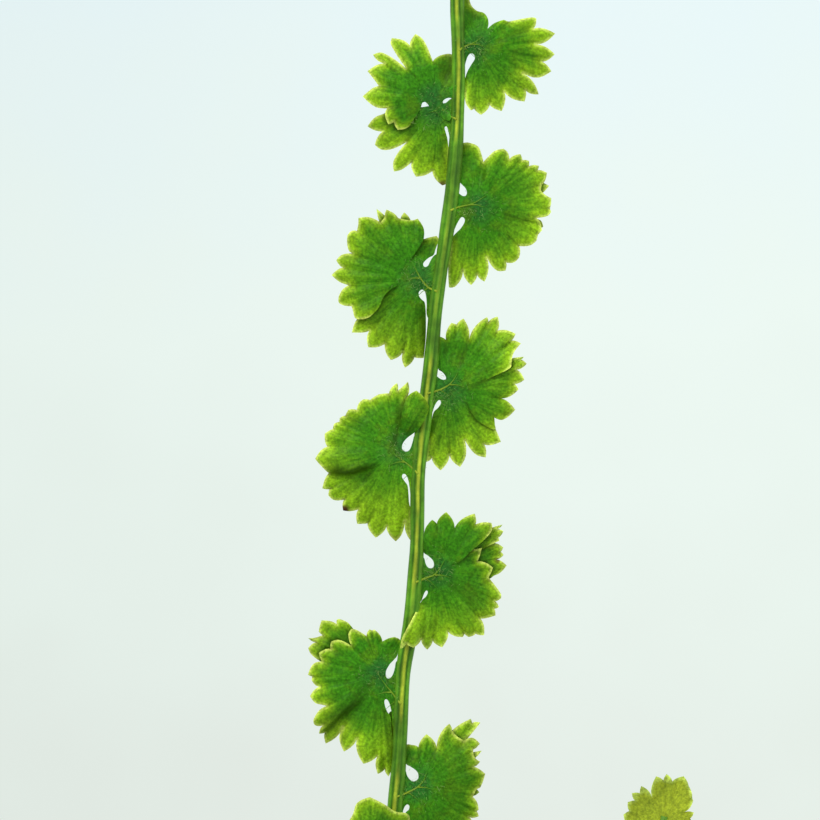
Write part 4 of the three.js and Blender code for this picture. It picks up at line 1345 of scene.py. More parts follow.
# The stretch's ten leaflets, top to bottom. A hub is [right, up] from the middle of the stretch.
DRAWN = (
    DrawnLeaflet(1, (8.5, 45.25), -0.4, ((-1.9, 0.1), (-1.0, 0.5), (-0.3, 0.8), (0.6, 1.5)), (
        Sheet(
            "p-2.6,0.4 p-2.4,3.2 p-2.4,6.4 p-2,8.2 s98,9 s97,8 s99,6.6 s98,5.6 s91,4.85 s81,4.6 s73,4.1"
            "s67,3.4 N64,2.75 s57,3.8 T48,4.85 N41,5.2 s30,7.85 T27.5,8.2 N20,7.4 T11.4,9.84 N4.6,7.3"
            "T-3.5,9.63 N-10.6,8.2 T-16.3,9.6 s-25,8.25 N-28,6.45 T-36,9.44 N-40.4,7.9 T-48,8.74"
            "N-58.3,6.33 T-69,8.3 N-78,7.14 T-87.3,8.26 N-93.5,7.5 T-96.5,7.8 s-103,6.9 s-110.7,4.85"
            "p-1.56,-3.6 p-1.25,-2.75 p-0.75,-1.9 p-0.38,-1.25 p-0.5,-0.8 p-0.85,-0.62 p-1.2,-0.9"
            "p-1.45,-1.5 p-1.75,-2.4 p-2.5,-3",
            tone=0.4, folds=(Fold((1.9, 0.8), (6.2, 2.4), -0.2),),
            swells=(Swell(100, 22, -0.75, 1.5, 4.0, 0.3), Swell(-100, 9, 0.5, 3.5, 6.0)),
        ),
    )),
    DrawnLeaflet(-1, (3.25, 37.5), 1.0, ((-1.75, -0.75), (-1.0, 0.0), (-0.2, 0.8), (0.3, 1.6)), (
        Sheet(
            "p-2.7,1.6 p-1.8,1.38 p-1.25,0.94 p-0.88,0.86 p0.1,0.62 p1.1,0.5 s14,1.7 s6,3.2 s0,5.8"
            "s-3,6.44 s-6.3,7.65 T-12.8,8.75 s-16.9,8.13 N-21.3,7.17 T-28.9,8.7 s-35.3,8.3 s-41,7.18"
            "N-46.7,5.32 s-49.1,8.02 T-55,9.15 s-59.6,8.39 N-64.4,7.09 T-73.1,8.53 s-80.2,8.1 N-86.6,7.5"
            "T-95,9.3 s-100.7,8.9 s-106,6.5 s-109,4.8 p-1.4,-3.4 p-1.2,-2.7 p-1.08,-2.15 p-1.3,-2"
            "p-1.52,-2.6 p-1.68,-3.4 p-1.8,-4.2 p-2.6,-5",
            lift=-0.3, root=-0.05, tone=0.56, swells=(Swell(-103, 8, -0.3, 3.0, 6.0, 0.35),),
        ),
        Sheet(
            "p-2.6,0.3 p-2.6,1.6 s142,2.9 s132,3.2 s111.8,5.8 T106,5.95 N85.2,4.76 s78.2,7.56 T72.7,8.59"
            "N64.4,7.55 T54.6,9.5 s50.9,8.9 N46,5.38 s41.7,8.85 T35.7,9.67 N35,7.92 s30,8.59 T22.5,9.24"
            "s17.6,8.07 N13.2,7.33 s9.6,8.06 T2.1,9.13 s-7,7.66 N-10.7,6.2 s-17,6.64 T-27.8,6.7"
            "N-28.5,5.97 T-38.7,6.08 s-44.8,5.03 s-42,3.6 p1.85,-0.95 p1.72,-0.5 p1.4,-0.35 p1.1,-0.55"
            "p0.6,-1.2 p-0.3,-2 p-1.5,-2.7 p-1.9,-2.3 p-1.5,-1.3 p-0.95,-0.6 p-0.85,-0.3 p-1.05,-0.05"
            "p-1.5,0.15 p-1.85,0.12",
            lift=0.6, root=0.1, rise=1.375, tone=0.26,
            swells=(Swell(112, 19, -0.95, 1.6, 4.0, 0.8),),
        ),
    ), spots=((-0.75, -9.2, 0.8, 0.85),)),
    DrawnLeaflet(1, (8.375, 25.25), 0.75, ((-2.4, 0.1), (-0.9, 0.4), (-0.1, 0.75), (1.2, 1.6)), (
        Sheet(
            "p-3.2,2.6 p-2.7,2.3 p-2.15,1.75 p-1.75,1.5 p-1.4,1.55 p-1.25,1.9 p-1.45,2.5 p-2,3.05"
            "p-2.5,3.9 p-2.35,6 s104,8.2 T97.8,8.33 s89,7.74 s85,6.75 N82,5.86 s77.7,6.55 s72.6,7.5"
            "T66,8.15 s61,7.97 N56.6,7.42 T51.4,8.72 N46.7,8.33 T42.5,8.85 N39.3,8.43 T34.7,9.47"
            "N32.6,9.06 T27.3,9.9 N20.4,8.68 s15,8.4 T8.2,9.4 N0.5,9.14 T-2.6,9.28 s-6,8.85 N-9,7.55"
            "T-18.4,8.56 N-23.3,8.3 T-28.6,8.45 s-35,8.07 N-41.8,7.07 T-49.4,8.09 s-55.7,8.15 N-61.4,7.67"
            "T-65.2,8.53 s-72.6,8.03 N-78.4,6.27 T-83.9,9.14 N-89.6,8.25 T-94.2,9.54 N-102.5,7.93"
            "T-105.6,10.1 T-109.5,10.4 s-116.8,7.9 s-128,5.1 p-2.95,-3.5 p-2.5,-3 p-2,-2.5 p-1.55,-1.75"
            "p-1.55,-1.35 p-1.85,-1.12 p-2.15,-1.4 p-2.5,-2 p-2.9,-2.8 p-3.7,-3.5",
            tone=0.34, folds=(Fold((0.3, 2.4), (1.1, 6.6), -0.35), Fold((2.6, -0.5), (8.0, -1.8), 0.3)),
            swells=(Swell(105, 16, -0.5, 3.0, 7.0, 0.15), Swell(-125, 14, -0.3, 2.0, 5.0, 0.4)),
        ),
        Sheet("s30,5 s24,8.4 T18,9.55 s13,8.2 s8,5", lift=-0.7, root=-0.7, tone=0.2),
        Sheet("s-8,5 s-10,8 T-15,8.6 s-20,7.8 s-26,5", lift=-0.7, root=-0.7, tone=0.2),
    )),
    DrawnLeaflet(-1, (1.0, 16.25), 1.0, ((-1.25, -1.0), (-0.25, 0.25), (0.2, 1.2), (0.7, 2.2)), (
        Sheet(
            "p-2.8,3.2 p-2.2,3.2 p-1.75,2.75 p-1.45,2.2 p-1.2,1.75 p-0.8,1.65 p-0.65,2.05 p-1,2.5"
            "p-1.45,2.85 p-1.95,3.15 p-2.2,3.9 s117,5.67 T112.7,6.02 s103.8,5.5 s92,5 s60,5.2 s20,5.6"
            "s-15,6.4 s-30,8.4 s-34.1,9.6 T-38.2,10.5 s-43.8,9.37 N-45.9,8.77 T-53.4,10.4 s-58.6,9.76"
            "N-62.3,9 s-66.3,9.9 T-71.2,10.5 N-78,9.2 T-81.5,11 N-87.3,9.6 T-94.3,9.7 p-0.97,-7.05"
            "p-1,-5.2 p-0.96,-3.7 p-0.82,-2.75 p-0.45,-2.4 p-0.15,-2 p-0.12,-1.5 p-0.45,-1.2 p-0.8,-1.35"
            "p-1,-2 p-1.08,-2.9 p-1.15,-4.5 p-2.1,-5.6",
            lift=-0.45, root=0.0, tone=0.5,
            swells=(Swell(110, 14, -0.3, 2.5, 5.0, 0.35), Swell(-99, 7, -0.4, 2.5, 5.0, 0.6)),
        ),
        Sheet(
            "s53,2.3 s86,3.5 N98,5.13 s96.4,6.44 T89.8,7.66 N85.9,7.5 s80,7.6 N72.3,8.13 s70.6,8.74"
            "T66,9.6 N62.6,9 N57,8.6 s52.1,9.92 T46.1,10.7 s42.8,10.15 N38.9,9.78 s36.6,10.3 T32.3,10.4"
            "s27.9,10 s23.3,9.4 N22.3,8.87 s18.7,9.99 T13.8,10.5 N9.7,9.5 T3.5,10.8 s-1,9.8 N-3.9,8.7"
            "s-7.1,9.53 T-11.5,10.1 s-16.3,10.2 N-21.3,8.9 s-25.1,8.96 T-28.5,9.1 s-32,9.06 s-36.7,8"
            "s-36.7,6.76 s-34,5.72 s-25.5,4.7 s-19.1,3.6 s-9.3,2.08 s20,1.6",
            lift=0.65, root=-0.2, tone=0.26,
        ),
        Sheet("s84,5 s83,7.6 T78.6,8.67 s74,7.9 s70,5", lift=-0.4, root=-0.4, tone=0.2),
        Sheet("s66,6 s63,8.9 T59.9,10.3 s57,9 s52,6", lift=-0.3, root=-0.3, tone=0.3),
    )),
    DrawnLeaflet(1, (4.875, 2.25), 1.0, ((-1.1, 0.25), (0.1, 0.9), (0.75, 1.75), (1.1, 2.5)), (
        Sheet(
            "p-2.8,2.6 p-1.9,2.3 p-1.3,1.8 p-0.85,1.55 p-0.4,1.6 p-0.45,2 p-0.85,2.5 p-1.3,2.8 p-1.35,3.4"
            "s104,4.6 s60,5.6 s20,6.2 s0,5.8 s-22,5.4 s-33,6 s-37,7.1 T-43.6,9 N-56,7.92 T-60.6,9.37"
            "s-67,8.4 N-71.5,6.4 s-75,8.2 T-81.5,9.45 N-89.4,7.9 T-96.1,9.82 N-104.5,8.52 T-108.3,9.2"
            "s-114,6.46 p-2.3,-4.2 p-1.9,-2.5 p-1.35,-1.95 p-1,-1.35 p-1.18,-1 p-1.55,-1.3 p-1.85,-1.9"
            "p-2.1,-2.6 p-2.8,-3.3",
            lift=-0.35, root=0.0, tone=0.56, swells=(Swell(-120, 12, -0.3, 1.5, 4.0, 0.5),),
        ),
        Sheet(
            "s40,1.4 s32,5 s29,8.4 T25.2,10.3 N24.2,9.84 T20,10.3 N18.2,8.91 T9.2,9.5 N7,8.28 T2.2,8.67"
            "N-7,6.6 T-15,8.56 s-27,7.6 N-29.4,6.5 s-35,7 s-38.8,7.4 s-42.2,6.4 s-45,4.95 s-40.6,3.46"
            "s-25.6,2.32 s-10,1.4",
            lift=0.15, root=-0.02, tone=0.34, opens=(1.4, 3.6),
        ),
        Sheet(
            "s88,1.3 s99,2.1 s108,2.8 s115.5,3.3 s110,5.2 T99.3,7 N93.3,6.5 T88,8.62 N83.4,8.47 T78.8,9.35"
            "N69,6.94 T63,10.5 N60.6,10.05 T57.2,11.2 N51.6,9.78 T41.1,11 N39.5,10.1 T34,10.8 s30.8,9.3"
            "s25.4,8.6 s21.6,8.2 s19.7,6.2 s17,4 s10,2.2 s40,1.2",
            lift=0.75, root=0.08, tone=0.3, opens=(4.4, 7.2), folds=(Fold((0.9, 2.3), (2.6, 7.2), -0.25),),
        ),
    )),
    DrawnLeaflet(-1, (-1.5, -4.75), 2.1, ((-2.1, -2.75), (-0.9, -1.75), (0.25, -1.0), (0.75, -0.25)), (
        Sheet(
            "p-2.9,1.7 p-2.05,1.5 p-1.85,0.9 p-1.6,0.1 p-1.3,-0.35 p-0.8,-0.4 p-0.5,0 p-0.65,0.65"
            "p-1.2,1.3 p-1.9,1.85 p-2.2,2.6 s116,4.6 s104,5.8 N100,6.3 T98.5,8.34 s92.3,7.4 N89.7,7.15"
            "T89.2,8.08 N80.6,6.9 T70.3,7.1 N59.8,6.92 T54.5,7.45 s48.6,7.4 N42.6,7 T37.8,7.8 N31.5,7.7"
            "T27,8.16 N24,8 T20.9,8.5 N16.2,8.45 T11,9.3 N1.1,8.8 T-7.5,10.4 s-12.8,9.87 N-19.9,9.2"
            "s-23,9.9 T-28.1,10.7 N-31,10 T-34.1,10.5 s-39.2,10.3 N-43.8,9.37 T-48.8,10.4 s-53.1,9.9"
            "N-57.1,9.2 T-61.9,10.8 s-66,10.4 N-67.9,10.2 T-76.1,11.6 N-81.6,9.96 T-88.6,11.7 s-92.5,10.8"
            "N-95.5,9.2 T-97.7,11.7 s-101.8,8.1 p-1.4,-6.9 p-1.3,-5.6 p-1.18,-4.65 p-0.8,-4.1 p-0.5,-3.6"
            "p-0.62,-3.25 p-0.95,-3.3 p-1.25,-3.9 p-1.42,-4.8 p-1.54,-5.9 p-1.62,-7.1 p-2.4,-8",
            lift=0.2, tone=0.44,
            folds=(
                Fold((2.0, -1.9), (8.2, -3.2), 1.1, 0.5, 2.2, 1.0, 0.5, 0.4),
                Fold((-0.85, 6.6), (0.3, 0.5), 0.0, 0.3, 1.8, 0.8, 0.3, 0.0),
            ),
            swells=(Swell(-101, 5, -0.3, 4.5, 8.0, 0.5),),
        ),
        Sheet(
            "s120,1 s136,2.5 s137,3.1 s135,4.3 s129,6.1 s123,6.7 s114.5,7.2 T107.8,7.5 s101,6.6 s97,5"
            "s95,3.2 s80,1.3 s0,0.7",
            lift=2.1, root=-0.12, tone=0.3,
            swells=(Swell(124, 9, 0.0, 1.0, 3.0, 0.5), Swell(96, 5, 0.0, 1.0, 3.0, 0.4)),
        ),
    ), spots=((6.7, -7.75, 0.85, 1.0), (0.4, -11.5, 1.0, 0.35))),
    DrawnLeaflet(1, (3.375, -20.125), 1.1, ((-1.5, -0.9), (-0.25, -0.5), (0.4, 0.4), (1.0, 1.5)), (
        Sheet(
            "p-3,2.4 p-2.2,2.2 p-1.6,1.6 p-1.4,0.9 p-1.1,0.45 p-0.7,0.35 p-0.4,0.6 p-0.5,1.3 p-1.05,1.85"
            "p-1.65,2.3 p-1.75,3 s112,3.9 s90,4.4 s50,4.8 s34,4.9 T27,6.3 s20,5.7 N13,5.2 T3,7 s-3,6.7"
            "N-7.6,6.5 s-19.8,8.46 T-23.4,8.68 N-27.7,8.2 T-30.3,8.93 N-33.5,8.6 T-37.3,9.17 s-44,8.5"
            "N-47.7,8.08 T-53.8,9.92 N-58.4,9.2 T-64.6,9.13 N-66.5,8.6 T-68.5,8.87 N-79.6,7.79 T-86.2,9.62"
            "N-93.5,8.77 T-97,9.92 N-103,8.73 T-107.1,9.87 N-113.2,9.7 T-115.5,10.6 s-118,9.17 s-118,6.7"
            "s-117.7,4.95 p-1.85,-3.6 p-1.4,-3.2 p-1.15,-2.7 p-1.25,-2.42 p-1.5,-2.6 p-1.75,-3.2"
            "p-1.95,-3.7 p-2.8,-4.4",
            tone=0.34, swells=(Swell(-114, 15, 3.3, 4.2, 8.5), Swell(-60, 8, 0.3, 3.0, 8.0)),
            folds=(
                Fold((0.6, -1.5), (4.3, -3.6), -0.1, 0.5, 1.8, 0.5, 0.75, -0.2),
                Fold((5.0, -2.3), (6.8, -1.4), -0.3, 0.25, 1.2, 0.7, 0.2, -0.25),
            ),
        ),
        Sheet(
            "s98,1.3 s103,1.8 s114.6,2.35 s124,2.85 s107,5.28 T95.5,6.43 N90.3,5.9 T81.2,7.46 N67.9,5.82"
            "T56.8,8.55 N50.4,7.54 s46.4,8.37 T41.4,9.04 s36.5,8.5 s33,6.7 s30.5,4.9 s20,2.5 s40,1.4",
            lift=0.7, root=-0.15, tone=0.24, swells=(Swell(120, 10, 0.0, 1.5, 3.0, 0.4),),
        ),
        Sheet(
            "s34,4.4 s27,7.4 s24.3,8.18 T19,8.78 N16,8.3 T13,8.56 N10.3,7.58 T3.9,8.74 N-5,7.2 s-12,6"
            "s-6,3.6",
            lift=-0.55, root=-0.5, tone=0.4,
        ),
        Sheet(
            "s46,5 s38,8.6 T34.9,10 N34.3,9.12 T30.5,9.63 N28,8.7 T25.4,8.63 s25.6,7 s26,4.6",
            lift=-0.2, root=-0.3, tone=0.4,
        ),
    ), spots=((7.6, 1.25, 0.5, 0.8),)),
    DrawnLeaflet(-1, (-3.75, -33.0), 2.0, ((-2.2, -3.2), (-1.5, -2.25), (-0.6, -1.25), (0.25, 0.1)), (
        Sheet(
            "p-2.9,2 p-2.05,1.6 p-1.85,0.8 p-1.65,0.1 p-1.3,-0.45 p-0.9,-0.5 p-0.72,-0.1 p-0.8,0.5"
            "p-1.2,1.2 p-1.75,1.8 p-2.15,2.3 s122.5,4.8 T111.4,4.94 s102.6,4.5 N94.2,4.05 T82.7,5.57"
            "N79.2,5.5 T76.8,5.7 N70.4,5 s62.2,6.2 T57.7,6.67 s51.1,6.27 N44.5,5 s40,6.6 T33.5,7.3 N27,6.9"
            "T18.9,8.05 N12,7.4 s8.1,8.4 T-1.1,9 N-2.8,8.5 T-5.6,8.58 N-12.5,7.8 T-18.1,9.2 s-24.5,8.9"
            "s-29.1,8.1 N-31.2,7.8 T-35.2,10.2 s-38.7,10.4 N-42.4,9.7 T-44.6,10.7 N-47.2,10.2 T-52.3,11.1"
            "N-55.4,8.2 s-57.8,9.55 T-65.1,10.7 N-70.4,8.66 T-79.6,11.4 s-83.7,11 N-88,10.4 T-88.7,12.5"
            "N-92.7,12 T-94.7,12.9 p-1.7,-11.3 p-1.75,-9.6 p-1.42,-6.9 p-1.38,-5.6 p-1.22,-5.12"
            "p-0.86,-4.6 p-0.55,-3.5 p-0.72,-3.1 p-1.1,-3.45 p-1.35,-4.3 p-1.5,-5.2 p-1.6,-6.5 p-2.4,-7.2",
            lift=0.2, tone=0.04, folds=(Fold((1.3, -1.8), (6.9, -7.3), 0.9, 0.6, 2.2, 0.9, 0.62, 0.25),),
            swells=(
                Swell(125, 20, -0.7, 1.6, 4.0, 0.25), Swell(-99, 5, -0.3, 4.0, 7.0, 0.5),
                Swell(-48, 15, -0.2, 1.0, 3.0, 0.42),
            ),
        ),
        Sheet(
            "s62,4.2 s59,6.6 s57.5,7.58 T53.2,8.5 s50.9,8.57 N48.7,8.2 s46.8,8.9 T42.4,9.85 s38.1,9.56"
            "T34.3,9.25 N33.5,8.6 s29,9.2 T26,9.97 N25.7,8.9 T19.1,9.5 s15.3,8.93 N11.3,7.67 s8,6 s10,4",
            lift=-0.5, root=-0.4, tone=0.34,
        ),
        Sheet(
            "s-108,4.95 s-103,5 s-99.5,7 s-97.5,9.6 s-102.5,9.9 s-108,7.2",
            lift=-0.25, root=-0.25, tone=0.0,
            swells=(Swell(-103, 30, 0.0, 0.5, 1.5, 0.45),),
        ),
    )),
    DrawnLeaflet(1, (1.0, -47.0), 1.1, ((-1.25, -0.75), (0.0, -0.1), (0.75, 0.75), (1.1, 1.75)), (
        Sheet(
            "p-3,2.9 p-2.1,2.6 p-1.55,2 p-1.35,1.35 p-0.95,0.8 p-0.5,0.62 p0,0.95 p0,1.6 p-0.35,2.05"
            "p-0.95,2.45 p-1.45,2.75 p-1.5,3.4 s106,5.26 T99,5.15 N89.4,4.8 T80.6,6.48 N64.2,5.33"
            "T62.9,8.6 N57.8,8 s52,7.8 N44,8 s41,9 T34,9.3 N33,8.19 s27,7.9 T21.5,8.3 N18.7,7.34 T10.2,8.5"
            "s-1,7.8 N-3,7.4 N-11.8,7 T-21.9,8.13 N-24,8 T-27,8.5 N-32,7.6 T-39,8.9 N-46,7.8 T-54,9.2"
            "N-61,7.9 T-69,9.3 N-77,7.9 T-85,9.6 N-93,8.4 T-102,9.9 s-112,7 s-115,5 p-1.5,-3.2 p-1.15,-2.9"
            "p-1.1,-2.4 p-1.4,-2.25 p-1.75,-2.7 p-1.95,-3.3 p-2.8,-4",
            tone=0.12, folds=(Fold((0.9, 1.9), (2.6, 5.6), -0.3),),
            swells=(Swell(110, 16, -0.4, 2.0, 4.5, 0.4), Swell(10, 75, 0.0, 1.0, 3.5, 0.3)),
        ),
        Sheet("s62,5.5 s57,8.4 T51.2,10.5 N48.4,10.2 T44.6,10.96 s43,8.4 s40,5.5", lift=-0.5, root=-0.4,
              tone=0.45),
        Sheet("s35,6 s31,8 T28.4,9.05 s25.5,7.8 s24,5.5", lift=-0.5, root=-0.5, tone=0.4),
        Sheet("s4,5 s-3,7.2 T-6.4,7.7 s-11,6.9 s-10,5", lift=-0.5, root=-0.5, tone=0.4),
    )),
    DrawnLeaflet(-1, (-5.0, -59.25), 2.0, ((-2.2, -3.0), (-1.5, -2.1), (-0.6, -1.1), (0.25, 0.2)), (
        Sheet(
            "p-2.9,2 p-2.05,1.6 p-1.85,0.8 p-1.6,0.1 p-1.2,-0.4 p-0.9,-0.4 p-0.75,0.2 p-1,1.4 p-1.9,2.6"
            "s130,5.5 s123,8.6 s118.5,10.1 s108.6,9.9 s100.6,10.3 T90,10.9 s81,10.2 s76,8.9 N68,7.9"
            "T60,8.8 N53,7.6 T44,8.9 N36,7.8 T28,9.2 N20,7.9 T11,9.4 N3,8.2 T-7,9.6 N-15,8.1 T-25,9.8"
            "N-33,8.5 T-43,10 N-51,8.7 T-61,10.4 N-69,8.8 T-79,10.9 N-87,9.4 T-96,11.2 s-101,7 p-0.95,-5.1"
            "p-0.55,-3.5 p-0.72,-3.1 p-1.2,-3.8 p-1.47,-5.2 p-2.4,-6.4",
            lift=0.2, tone=0.1, swells=(Swell(112, 20, 2.2, 4.5, 9.0, 0.25),),
        ),
    )),
)


# Fronds


@dataclass(frozen=True)
class LeafletSizes:
    """The sizes of the common leaflets, as the solids have them."""

    pitch: float = 12.9  # along the stalk from one leaflet to the next
    stem: float = 3.1  # from the stalk's middle to a leaflet's hub
    drop: float = 0.5  # how far below its hub a leaflet meets the stalk
    stalk_half: float = 0.85  # half the width of a leaflet's little stalk, and the least it may be
    least_half: float = 0.45
    up_reach: float = 7.3  # from the hub to the teeth: towards the tip, outwards and towards the foot
    out_reach: float = 9.2
    down_reach: float = 9.9
    inner_bearing: float = 98.0  # the bearing of the tooth nearest to the stalk, in degrees
    tilt: float = 16.0  # the range over which leaflets tilt, in degrees
    spread: tuple[float, float] = (2.0, 16.0)  # how far they turn to the viewer: the least, and the range

    def grown(self, share: float) -> float:
        """Returns how large leaflets are at a share of the frond's length."""
        young = lerp(0.55, 1.0, float(smooth(share, 0.08, 0.42)))
        return young * lerp(1.0, 0.2, float(smooth(share, 0.7, 1.05)))

    def neck(self, drop: float, half: float) -> tuple[str, str]:
        """Writes the marks above and below a neck that flares into the stalk.

        Args:
            drop: how far below the hub it meets the stalk, at size one.
            half: half its width, at size one.

        Returns:
            The marks above it and the marks below it.
        """
        stem = self.stem
        above = f"p{-stem},{half - drop + 0.9:.2f} p{-0.72 * stem:.2f},{half - 0.8 * drop + 0.25:.2f}"
        above += f"p{-0.45 * stem:.2f},{half - 0.5 * drop + 0.12:.2f} p-1.2,1.5"
        below = f"p-1.3,-1.6 p{-0.45 * stem:.2f},{-half - 0.5 * drop - 0.12:.2f}"
        below += f"p{-0.72 * stem:.2f},{-half - 0.8 * drop - 0.3:.2f} p{-stem},{-half - drop - 1.0:.2f}"
        return above, below


LEAFLET = LeafletSizes()


@dataclass(frozen=True)
class Row:
    """A row of common leaflets along a stalk."""

    start: float
    end: float
    size: float
    seed: float
    first_side: int
    extra_teeth: int = 0


class Frond:
    """A frond: its stalk, its leaflets, and the small fan at its tip; the tallest frond's drawn leaflets also
    get hairs.
    """

    END_BACK: ClassVar[float] = 1.4  # how far below the stalk's end its last fan begins
    END_RISE: ClassVar[float] = 0.5
    END_NARROW: ClassVar[float] = 0.35

    def __init__(self, node: str, stalk: Stalk, maker: BladeMaker) -> None:
        """Names the frond's node and takes its stalk and how its blades are made.

        Args:
            node: the frond's node.
            stalk: its stalk.
            maker: what makes its leaflets.
        """
        self.node = node
        self.stalk = stalk
        self.maker = maker

    def dress(self, pile: Pile, name: str, *more: Finish) -> None:
        """Makes a piece from a pile and seats it in the frond's place, with more finishes if it has them."""
        settle(pile.piece(name, (FernBlade(), FernStalk(), PlantHair(), *more)), self.node)

    def stalk_pile(self, step: float, seed: int) -> Pile:
        """Returns a pile with the frond's stalk and the scales on its foot.

        Args:
            step: the distance between the stalk's rings.
            seed: the number that the draws start from.

        Returns:
            The pile.
        """
        pile = Pile()
        self.stalk.surface(pile, step, Slot.STALK.value)
        add_foot_scales(pile, self.stalk, seed)
        return pile

    def add_row(self, pile: Pile, row: Row) -> None:
        """Adds common leaflets along the stalk, in turn right and left.

        Args:
            pile: what they are added to.
            row: from where to where they stand, and how large they are.
        """
        side, along, number = row.first_side, row.start, 0
        while along < row.end:
            grown = row.size * LEAFLET.grown(along / self.stalk.length)
            teeth = next(t for least, t in ((0.8, 5), (0.5, 4), (0.0, 3)) if grown > least) + row.extra_teeth
            self.add_leaflet(pile, self.stalk.at(along), side, grown, row.seed + 101 * number, teeth)
            along += LEAFLET.pitch * (row.size + grown) / 2.0
            side = -side
            number += 1

    def add_leaflet(self, pile: Pile, at: Station, side: int, size: float, seed: float, teeth: int) -> None:
        """Adds one common leaflet at a station.

        Args:
            pile: what it is added to.
            at: the place on the stalk.
            side: 1 for the right of the upper face, -1 for its left.
            size: the leaflet's scale.
            seed: the number that its draws start from.
            teeth: how many coarse teeth its solid has.
        """
        tilt = math.radians(LEAFLET.tilt * (draw(seed + 90) - 0.5))
        spread = math.radians(LEAFLET.spread[0] + LEAFLET.spread[1] * draw(seed + 92))
        across = at.right * side
        out = across * math.cos(spread) + at.normal * math.sin(spread)
        level = at.normal * math.cos(spread) - across * math.sin(spread)
        up = turned(at.tangent, out, tilt)
        face = turned(level, out, tilt)
        stem, drop = LEAFLET.stem * size, LEAFLET.drop * size
        axes = Axes(at.point + out * stem + up * drop, out, up, face)
        half = max(LEAFLET.stalk_half, LEAFLET.least_half / size)
        neck = LEAFLET.neck(LEAFLET.drop, half)
        tone = 0.3 + 0.25 * draw(seed + 55)
        self._add_common(pile, axes, size, seed, teeth, 6.0 * draw(seed + 91), neck, 0.0, tone)

    def add_end(self, pile: Pile, size: float, seed: float, tone: float) -> None:
        """Adds the small fan that ends the frond.

        Args:
            pile: what it is added to.
            size: the fan's scale.
            seed: the number that its draws start from.
            tone: how yellow it is.
        """
        at = self.stalk.at(self.stalk.length - self.END_BACK)
        axes = Axes(at.point + at.tangent * self.END_RISE * size, at.tangent, -at.right, at.normal)
        neck = LEAFLET.neck(0.0, LEAFLET.least_half / size)
        self._add_common(pile, axes, size, seed, 5, 0.0, neck, self.END_NARROW, tone)

    def _add_common(
        self, pile: Pile, axes: Axes, size: float, seed: float, teeth: int, phase: float,
        neck: tuple[str, str], narrow: float, tone: float,
    ) -> None:
        """Adds a common blade whose fine teeth keep to the coarse teeth of its solid.

        Args:
            pile: what it is added to.
            axes: where it sits.
            size: its scale.
            seed: the number that its draws start from.
            teeth: how many coarse teeth its solid has.
            phase: shifts the rim's waves.
            neck: the marks above and below its neck.
            narrow: how much narrower than long it is.
            tone: how yellow it is.
        """
        step = 2.0 * LEAFLET.inner_bearing / (teeth - 1)
        bearings, reaches = [], []
        for i in range(teeth):
            bearing = LEAFLET.inner_bearing - i * step
            slope = math.sin(math.radians(bearing))
            wide = LEAFLET.up_reach if slope > 0 else LEAFLET.down_reach
            reach = lerp(LEAFLET.out_reach, wide, abs(slope)) * (0.94 + 0.12 * draw(seed + i))
            bearings.append(bearing)
            reaches.append(reach * (1.0 - narrow * abs(slope)))
        tips = max(7, round(6.5 + 9.5 * min(size, 1.0)))
        text = [neck[0], f"s{121 - 6 * draw(seed + 31):.1f},{0.5 * reaches[0]:.2f}"]
        span = LEAFLET.inner_bearing + 8.0
        for k in range(tips):
            wander = 0.35 * (draw(seed + 7.3 * k + 13) - 0.5)
            bearing = span - (k + wander) * 2.0 * span / (tips - 1)
            reach = float(np.interp(-bearing, [-b for b in bearings], reaches))
            reach *= 0.93 + 0.07 * draw(seed + 3.1 * k)
            if k:
                cut = 0.83 + 0.09 * draw(seed + 5.7 * k + 2)
                deep = 0.2 if k in (round(tips * 0.3), round(tips * 0.62)) else 0.0
                text.append(f"N{bearing + span / (tips - 1):.2f},{reach * (cut - deep):.2f}")
            text.append(f"T{bearing:.2f},{reach:.2f}")
        text.extend([f"s-119,{0.55 * reaches[-1]:.2f}", neck[1]])
        heading = math.radians(60 - 120 * draw(seed + 66))
        ray = (math.cos(heading), math.sin(heading))
        folds = (Fold((1.6 * ray[0], 1.6 * ray[1]), (7.0 * ray[0], 7.0 * ray[1]), 0.45, 0.35),)
        sheet = Sheet("".join(text), tone=tone, folds=folds)
        self.maker.add(pile, sheet, axes, size, phase)


@dataclass(frozen=True)
class Habit:
    """How a leaning frond grows.

    It starts at a heading, its foot so far from the axis, and leans by degrees that grow from lean to tip,
    faster towards the end where curl is over one. turn and twist are how far its heading and its upper face
    turn, size is the scale of its leaflets and end that of its last fan.
    """

    heading: float
    foot: float
    lean: float
    length: float
    tip: float
    curl: float
    turn: float
    twist: float
    size: float
    end: float = 0.36
    end_tone: float = 0.45

    def stalk(self) -> Stalk:
        """Returns the frond's stalk: straight at first, then bending over more and more."""
        step = 2.0
        point = compass(self.heading) * self.foot + UP * SIZES.foot_height
        path = [point]
        along = step / 2.0
        while along < self.length:
            bent = max(0.0, (along - SIZES.straight) / (self.length - SIZES.straight))
            angle = math.radians(self.lean + (self.tip - self.lean) * bent**self.curl)
            forward = compass(self.heading + self.turn * bent) * math.sin(angle) + UP * math.cos(angle)
            point = point + forward * step
            path.append(point)
            along += step
        return Stalk(np.array(path), self.right_at)

    def right_at(self, share: float, tangent: np.ndarray) -> np.ndarray:
        """Returns the direction to the right of the upper face at a share of the length."""
        level = compass(self.heading + self.turn * share - 90.0)
        return turned(level, tangent, math.radians(self.twist) * float(smooth(share, 0.1, 0.5)))


